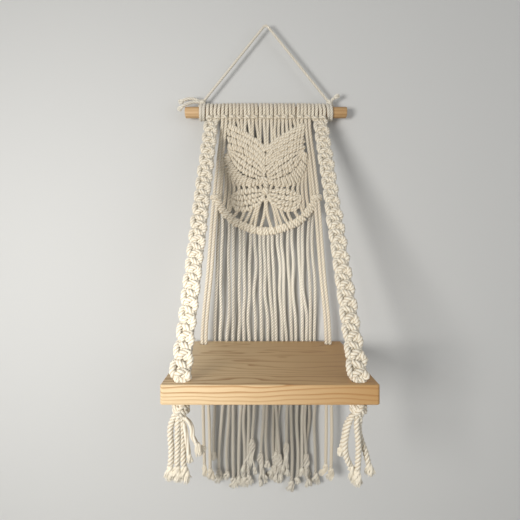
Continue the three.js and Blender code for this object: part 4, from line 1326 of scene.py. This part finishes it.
# Strands from the lower wing and the body down to the border.
foot_strand_shares = (
    ((0.02, 0.655, 0.0), (0.065, 0.69, 0.2), (0.022, 0.725, 0.0), (0.03, 0.82, 0.0), (0.15, 0.985, 0.5)),
    ((0.05, 0.665, 0.0), (0.11, 0.71, 0.2), (0.19, 0.79, 0.0), (0.3, 0.98, 0.5)),
    ((0.1, 0.72, 0.5), (0.22, 0.77, 0.2), (0.3, 0.84, 0.0), (0.42, 0.96, 0.5)),
    ((0.36, 0.79, 0.5), (0.43, 0.85, 0.2), (0.56, 0.93, 0.5)),
    ((0.55, 0.81, 0.5), (0.59, 0.86, 0.2), (0.67, 0.91, 0.5)),
    ((0.72, 0.8, 0.5), (0.77, 0.84, 0.2), (0.84, 0.87, 0.5)),
    ((0.87, 0.74, 0.5), (0.92, 0.8, 0.2), (0.95, 0.83, 0.5)),
)

for side, word in SIDES_AND_WORDS:
    for name, (top, foot, rows, tone) in fields.items():
        knotted = field(edges[top], edges[foot], rows, side, tone)
        build(f"{name}_{word}_rows", knotted, f"{name}_{word}")
    strands = [strand(shares, side) for shares in rib_strand_shares + foot_strand_shares]
    build(f"wing_strands_{word}", strands)


BODY_WIDTH = 8.0
BODY_DEPTH = 8.0
BODY_STEP = 1.0
body_shares = (0.522, 0.665)  # of the panel's height, at its top and its foot


def body_coil():
    """The butterfly's body: hitches wound round the two middle strands."""
    top, foot = (PANEL_TOP - share * PANEL_HEIGHT for share in body_shares)
    left = spaced([(-BODY_WIDTH / 2, 0.0, top), (-BODY_WIDTH / 2, 0.0, foot)], BODY_STEP)
    return hitch_row(left, left * (-1, 1, 1), 1, depth=BODY_DEPTH)


build("butterfly_body_hitches", body_coil(), "butterfly_body")


# Border

BORDER_PROUD = 0.6  # how much deeper than the panel it is
BORDER_ROPE = HITCH_ROPE + 0.2
BORDER_TONE = -0.5
BINDING_TURNS = 2
BINDING_HEIGHT = 9.0
BINDING_RINGS = 26  # in one turn
BINDING_HALF_WIDTH = 6.2
BINDING_HALF_DEPTH = 3.8
BINDING_TONE = -0.4
BINDING_ROPE_SHARE = 0.8  # of the rope's thickness, that a turn takes up in height


def border():
    """Row of half hitches along an arc of a circle, with a binding at each end."""
    angle = np.linspace(-BORDER_HALF_ANGLE, BORDER_HALF_ANGLE, BORDER_HITCHES * HITCH_RINGS)
    out = np.stack([np.sin(angle), np.zeros_like(angle), -np.cos(angle)], axis=1)
    middle = out * BORDER_RADIUS + (0.0, PANEL_Y, BORDER_CENTRE_Z)
    half = out * BORDER_HEIGHT / 2
    surfaces = hitch_row(
        middle - half, middle + half, 1, BORDER_TONE, PANEL_THICKNESS + BORDER_PROUD, BORDER_ROPE,
        line_length(middle) / BORDER_HITCHES,
    )
    return surfaces + [binding(-1), binding(1)]


def support_at(side, z):
    """Middle of a support rope's two legs at each height, on straight lines from the lark's head to the
    border's end and on to the rear hole."""
    heights = (SUPPORT_FOOT_Z, BORDER_END_Z, BAR_Z)
    x = np.interp(z, heights, (REAR_HOLE_X, SUPPORT_AT_BORDER_X, SUPPORT_HEAD_X))
    y = np.interp(z, heights, (REAR_HOLE_Y, PANEL_Y, PANEL_Y))
    return side * x, y


def binding(side):
    """Turns of cord that tie the border's end round both legs of a support rope: a helix round an ellipse."""
    angle = np.linspace(0, 2 * pi * BINDING_TURNS, BINDING_RINGS * BINDING_TURNS)
    height = BINDING_HEIGHT - ROPE * BINDING_ROPE_SHARE
    z = BORDER_END_Z - np.linspace(-height / 2, height / 2, len(angle))
    x, y = support_at(side, z)
    x = x + BINDING_HALF_WIDTH * np.cos(angle)
    y = y - BINDING_HALF_DEPTH * np.sin(angle)
    return rope(spaced(np.stack([x, y, z], axis=1), STEP), HITCH_ROPE, tone=BINDING_TONE)


build("border_hitches", border(), "border")


# Support ropes

# How far each tail stands to the right halfway and at its end, in strand spacings, its fall as a share, and
# the frayed end's lean and spread in rope diameters.
rear_tail_shares = {
    "left": ((0.3, 0.65, 1.0, 0.1, 1.0), (0.9, 1.15, 1.035, 0.5, 1.5)),
    "right": ((0.0, -0.2, 0.995, -1.2, 1.15), (0.5, 0.25, 1.03, -0.3, 1.5)),
}
REAR_FRAY = 18.0
REAR_YARNS = 66
REAR_TONE = 0.1
REAR_FRAY_TONE = -0.6
SUPPORT_TONE = -0.4
SUPPORT_KNOT_TONE = 0.0


def support_leg(side, way):
    """Route of one leg, from the lark's head past the border's end and the board's rear hole."""
    z = np.array([
        BAR_Z - ROPE, (BAR_Z + BORDER_END_Z) / 2, BORDER_END_Z, (BORDER_END_Z + SUPPORT_FOOT_Z) / 2,
        SUPPORT_FOOT_Z, BOARD_TOP - ROPE, BOARD_BOTTOM + TOUCH,
    ])
    x, y = support_at(side, z)
    return np.stack([x + way * SPREAD / 2, y, z], axis=1)


def support_rope(side, word):
    """Lark's head, two legs and the stopper knot under the board."""
    route = head_route(side * SUPPORT_HEAD_X, support_leg(side, -1), support_leg(side, 1))
    knot_middle = (side * REAR_HOLE_X, REAR_HOLE_Y, BOARD_BOTTOM - TOUCH - REAR_KNOT[2] / 2)
    surfaces = [rope(smooth(route, STEP), tone=SUPPORT_TONE)]
    surfaces += stopper_knot(knot_middle, REAR_KNOT, ROPE, SUPPORT_KNOT_TONE, side)
    build(f"support_cord_{word}_rope", surfaces, f"support_cord_{word}")


def rear_tail(side, word, index):
    """One of the two ends that hang from a rear stopper knot."""
    bow, sway, fall, lean, spread = rear_tail_shares[word][index]
    way = (-1, 1)[index]
    x = side * REAR_HOLE_X + way * SPREAD / 2
    start_z = BOARD_BOTTOM - REAR_KNOT[2] + ROPE / 2
    end_z = BOARD_BOTTOM - REAR_TAIL_FALL * fall
    points = [
        (x, REAR_HOLE_Y, start_z),
        (x + bow * SPREAD, REAR_HOLE_Y, (start_z + end_z) / 2),
        (x + sway * SPREAD, REAR_HOLE_Y, end_z),
    ]
    line = smooth(points, LOOSE_STEP)[: -round(REAR_FRAY / LOOSE_STEP)]
    name = f"support_tail_{word}_{index + 1}"
    tail = build(name, [closed_rope(line, tone=REAR_TONE, depth=OPEN_PLY_SHARE)])
    brush = tuft(
        *line_end(line), REAR_FRAY, spread * ROPE, ROPE, REAR_YARNS, REAR_FRAY_TONE,
        (lean * ROPE, 0.0, 0.0), opening=bulbous,
    )
    build(f"{name}_fray", brush)


for side, word in SIDES_AND_WORDS:
    support_rope(side, word)
    for index in range(2):
        rear_tail(side, word, index)


# Sinnets

# One square knot: where its two working ropes lie. Shares of the half width across (+ is right), of the half
# thickness backwards, and of the knot's length down.
front_rope_shares = (
    (-0.50, 0.10, 0.00), (-0.60, -0.35, 0.11), (-0.42, -0.85, 0.20), (0.00, -1.05, 0.27),
    (0.42, -0.92, 0.34), (0.70, -0.40, 0.40), (0.80, 0.05, 0.47), (0.70, -0.40, 0.54),
    (0.42, -0.92, 0.60), (0.00, -1.05, 0.67), (-0.42, -0.85, 0.76), (-0.58, -0.35, 0.89),
)
back_rope_shares = (
    (1.00, -0.78, 0.00), (0.98, -0.84, 0.11), (0.86, -0.74, 0.22), (0.72, -0.30, 0.32),
    (0.58, 0.30, 0.41), (0.36, 0.85, 0.41), (0.00, 1.05, 0.33), (-0.36, 0.80, 0.20),
    (-0.66, 0.10, 0.09), (-0.86, -0.52, 0.13), (-0.98, -0.82, 0.23), (-1.03, -0.92, 0.35),
    (-1.04, -0.95, 0.48), (-1.03, -0.92, 0.61), (-0.98, -0.82, 0.74), (-0.84, -0.50, 0.86),
    (-0.60, 0.15, 0.92), (-0.32, 0.80, 0.88), (0.00, 1.05, 0.76), (0.36, 0.85, 0.65),
    (0.58, 0.25, 0.57), (0.70, -0.48, 0.64), (0.84, -0.78, 0.74), (0.96, -0.80, 0.87),
)
KNOT_JITTER = 0.25
KNOT_TILT = 0.09  # of a knot, in radians, more or less
KNOT_SIZE_SHARES = (0.95, 1.05)
LAST_KNOT_SHARE = 1.15
SINNET_DEPTH_SHARE = 1.1  # of the half thickness, because the working ropes bulge past it
SINNET_TONE = -0.85
SINNET_KNOT_TONE = -0.8
FILLER_SHIFT = 2.9
FILLER_FORWARD = 1.5
PRESSED_SHARES = (0.9, 1.2)  # of the rope's thickness, through the chain and across it
# How the four ropes share the front hole: places left and right, and front and back, of NECK_SHIFT
neck_places = ((-1, -1), (1, -1), (-1, 1), (1, 1))
NECK_SHIFT = 2.9
NECK_TOP = 1.0  # above the board, where the ropes have come together
NECK_FOOT = 2.0  # below it, where the knot hides them


def sinnet_axis(side):
    """Middle of the chain's first and last knots, and its directions across and back."""
    top = np.array([side * SINNET_START_X, PANEL_Y, DOWEL_Z - SINNET_START_DROP])
    foot = np.array([side * FRONT_HOLE_X, FRONT_HOLE_Y, BOARD_TOP + SINNET_NECK])
    down = unit(foot - top)
    across = unit(np.cross(down, (0.0, 1.0, 0.0)))
    across *= np.sign(across[0])
    back = np.cross(down, across)
    back *= np.sign(back[1])
    return top, foot, across, back


knot_sizes = {
    side: (
        np.append(rng.uniform(*KNOT_SIZE_SHARES, SINNET_KNOTS - 1), LAST_KNOT_SHARE),
        rng.uniform(-KNOT_TILT, KNOT_TILT, SINNET_KNOTS),
    )
    for side, word in SIDES_AND_WORDS
}


def knotted_route(side, shares):
    """A working rope's route down the whole chain. Knot k of n is its table of shares over again, times the
    knot's own size and turned by its own tilt, between the shares k / n and (k + 1) / n of the chain."""
    top, foot, across, back = sinnet_axis(side)
    half_width = (SINNET_WIDTH - SINNET_ROPE) / 2
    half_depth = (SINNET_THICKNESS - SINNET_ROPE) / 2 * SINNET_DEPTH_SHARE
    table = np.array(shares)
    knots = np.arange(SINNET_KNOTS)
    down = (knots[:, None] + table[None, :, 2]).ravel() / SINNET_KNOTS
    size, tilt = knot_sizes[side]
    x = (size[:, None] * table[None, :, 0]).ravel() * half_width
    y = (size[:, None] * table[None, :, 1]).ravel() * half_depth
    jitter = rng.normal(0, KNOT_JITTER, (2, len(x)))
    drop = np.repeat(tilt, len(table)) * x
    return (
        top
        + down[:, None] * (foot - top)
        + drop[:, None] * unit(foot - top)
        + (x + jitter[0])[:, None] * across
        + (y + jitter[1])[:, None] * back
    )


def sinnet_leg(side, start_x, route, place):
    """One of the chain's four ropes, from its lark's head down through the front hole."""
    across, backwards = place
    hole = [
        (side * FRONT_HOLE_X + across * NECK_SHIFT, FRONT_HOLE_Y + backwards * NECK_SHIFT, z)
        for z in (BOARD_TOP + NECK_TOP, BOARD_BOTTOM - NECK_FOOT)
    ]
    return [(start_x, PANEL_Y - LEG_FORWARD, BAR_Z), *route, *hole]


def sinnet(side, word):
    """Two lark's heads, a chain of square knots over two straight ropes, and the stopper knot."""
    top, foot, across, back = sinnet_axis(side)
    front = knotted_route(side, front_rope_shares)
    behind = knotted_route(side, back_rope_shares)
    shifts = [way * across * FILLER_SHIFT - back * FILLER_FORWARD for way in (-1, 1)]
    fillers = [spaced([top + shift, foot + shift], ROPE) for shift in shifts]
    routes = [front, *fillers, behind]
    heads = sorted(side * (PANEL_HEADS + 1 + i + 0.5) * HEAD_PITCH for i in range(SINNET_HEADS))
    tight = WRAP / (SINNET_ROPE * PRESSED_SHARES[1])
    surfaces = []
    for i, head in enumerate(heads):
        left_leg, right_leg = (
            sinnet_leg(side, head + way * SPREAD / 2, routes[which], neck_places[which])
            for way, which in ((-1, 2 * i), (1, 2 * i + 1))
        )
        line = smooth(head_route(head, left_leg, right_leg), STEP)
        swell = np.interp(line[:, 2], (BAR_Z - 2 * ROPE, BAR_Z), (1.0, tight))
        pressed = (back, *PRESSED_SHARES)
        surfaces.append(rope(line, SINNET_ROPE, SINNET_TONE, HITCH_LAY, swell, SINNET_PLY_SHARE, pressed))
    knot_middle = (side * FRONT_HOLE_X, FRONT_HOLE_Y, BOARD_BOTTOM - TOUCH - FRONT_KNOT[2] / 2)
    surfaces += stopper_knot(knot_middle, FRONT_KNOT, SINNET_ROPE, SINNET_KNOT_TONE, -1)
    surfaces += [tassel_root(side, word, index) for index in range(TASSEL_ROPES)]
    build(f"sinnet_{word}_knots", surfaces, f"sinnet_{word}")


for side, word in SIDES_AND_WORDS:
    sinnet(side, word)


# Hanging cord

HITCH_TURNS = 2
HITCH_TURN_POINTS = 24
HITCH_CORD_PITCH = HANGER + TOUCH
HITCH_X = HEADS_HALF_WIDTH + TOUCH / 2 + HANGER / 2
HITCH_RADIUS = DOWEL_RADIUS + TOUCH + HANGER / 2
HANGER_KNOT_X = HITCH_X + HITCH_CORD_PITCH
HANGER_KNOT_Z = DOWEL_Z + HITCH_RADIUS + HANGER / 2 + HANGER_KNOT[2] / 4
# Tails of the knots, as shares of the cord's diameter outwards and backwards from the knot, and upwards from
# the dowel's axis.
hanger_tail_shares = {
    "left": (
        ((1, 0, 4.1), (3.6, -0.2, 5), (6, -0.5, 4.6), (7.9, -0.7, 3.5)),
        ((1, -0.6, 3.6), (3.2, -1.2, 3.3), (5.2, -2.0, 2.4), (6.6, -2.4, 1.5), (7.8, -2.4, 0.2)),
    ),
    "right": (((0.6, 0, 4.2), (1.8, -0.2, 5.2), (3, -0.3, 5.9)),),
}
HANGER_TAIL = 4.8  # slack, so a little thicker
HANGER_TAIL_TONE = -0.6
HANGER_FRAY = 8.0
HANGER_FRAY_SPREAD = 4.5
HANGER_FRAY_TONE = -0.9
HANGER_YARNS = 56
HANGER_CUT_SHARE = 0.5  # of the frayed end's length, by which the laid tail stops before its route does
HANGER_END_POINTS = 4
HANGER_HITCH_TONE = -0.4
HANGER_KNOT_TONE = -0.3
HANGER_TONE = -0.5
HANGER_INTO_KNOT_SHARE = 0.4  # of the knot's height, from its middle to where the cord leaves it
HANGING_BEND_POINTS = 9


def hanger_tail(side, shares):
    """A tail of the knot, with its frayed end."""
    start = (side * HANGER_KNOT_X, 0.0, HANGER_KNOT_Z)
    route = [start] + [
        (side * (HANGER_KNOT_X + out * HANGER), back * HANGER, DOWEL_Z + up * HANGER)
        for out, back, up in shares
    ]
    line = smooth(route, STEP)[: -round(HANGER_FRAY * HANGER_CUT_SHARE / STEP)]
    laid = closed_rope(line, HANGER_TAIL, tone=HANGER_TAIL_TONE, depth=OPEN_PLY_SHARE)
    return [laid] + tuft(
        *line_end(line, HANGER_END_POINTS), HANGER_FRAY, HANGER_FRAY_SPREAD, HANGER_TAIL, HANGER_YARNS,
        HANGER_FRAY_TONE, opening=bulbous,
    )


def hanger_knot(side, word):
    """The cord's two turns round the dowel, the knot on top of them and its tails."""
    turns = np.linspace(0, HITCH_TURNS, HITCH_TURNS * HITCH_TURN_POINTS + 1)
    coil_x = side * (HITCH_X + HITCH_CORD_PITCH * turns)
    coil = np.stack(round_dowel(coil_x, 90 - 360 * turns, HITCH_RADIUS), axis=1)
    knot_middle = (side * HANGER_KNOT_X, 0.0, HANGER_KNOT_Z)
    surfaces = [rope(spaced(coil, STEP), HANGER_TAIL, tone=HANGER_HITCH_TONE, lay=HANGER_LAY)]
    surfaces += stopper_knot(knot_middle, HANGER_KNOT, HANGER, HANGER_KNOT_TONE, side)
    for shares in hanger_tail_shares[word]:
        surfaces += hanger_tail(side, shares)
    build(f"hanger_knot_{word}_lay", surfaces, f"hanger_knot_{word}", "hanger_cord", "hanger")


def hanging_cord():
    """Straight up from each knot to a small bend at the top: an arc of a circle that both straight parts
    touch."""
    bend_z = -HANGING_BEND / 2
    bend = (HANGING_BEND + HANGER) / 2
    knot = np.array([HANGER_KNOT_X, HANGER_KNOT_Z])
    away = np.array([0.0, bend_z]) - knot
    foot_x, foot_z = knot + unit(away) * HANGER_KNOT[2] * HANGER_INTO_KNOT_SHARE
    touch = atan2(foot_z - bend_z, foot_x) + acos(bend / hypot(foot_x, foot_z - bend_z))
    angle = np.linspace(pi - touch, touch, HANGING_BEND_POINTS)
    arc = np.stack([bend * np.cos(angle), np.zeros_like(angle), bend_z + bend * np.sin(angle)], axis=1)
    line = spaced([(-foot_x, 0.0, foot_z), *arc, (foot_x, 0.0, foot_z)], STEP)
    cord = rope(line, HANGER, tone=HANGER_TONE, lay=HANGER_LAY, depth=OPEN_PLY_SHARE)
    piece = build("hanging_cord_lay", [cord], "hanging_cord", "hanger_cord", "hanger")


hanging_cord()
for side, word in SIDES_AND_WORDS:
    hanger_knot(side, word)


# Wood

DOWEL_END_RINGS = 6
DOWEL_RINGS = 24  # from one rounded end to the other


def dowel():
    """Round stick along X: circles whose radius follows a quarter circle at each end."""
    half = DOWEL_LENGTH / 2
    bow = np.linspace(0, pi / 2, DOWEL_END_RINGS)
    end_radius = DOWEL_RADIUS - DOWEL_ROUNDING * (1 - np.sin(bow))
    end_x = -half + DOWEL_ROUNDING * (1 - np.cos(bow))
    inner = np.linspace(end_x[-1], -end_x[-1], DOWEL_RINGS)[1:-1]
    x = np.concatenate([end_x, inner, -end_x[::-1]])
    radius = np.concatenate([end_radius, np.full(len(inner), DOWEL_RADIUS), end_radius[::-1]])
    angle = -np.arange(DOWEL_SIDES) * 2 * pi / DOWEL_SIDES
    y = radius[:, None] * np.cos(angle)
    z = DOWEL_Z + radius[:, None] * np.sin(angle)
    points = np.stack([np.broadcast_to(x[:, None], y.shape), y, z], axis=-1)[:, ::-1]
    around = np.broadcast_to(angle * -DOWEL_RADIUS, y.shape)
    stick = tube_surface(points, x + half, around, 0.0, np.zeros(y.shape))
    build("dowel_stick", [stick], "dowel", "dowel_wood")


dowel()
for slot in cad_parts["shelf_board"].material_slots:
    slot.material = looks["board_pine"]
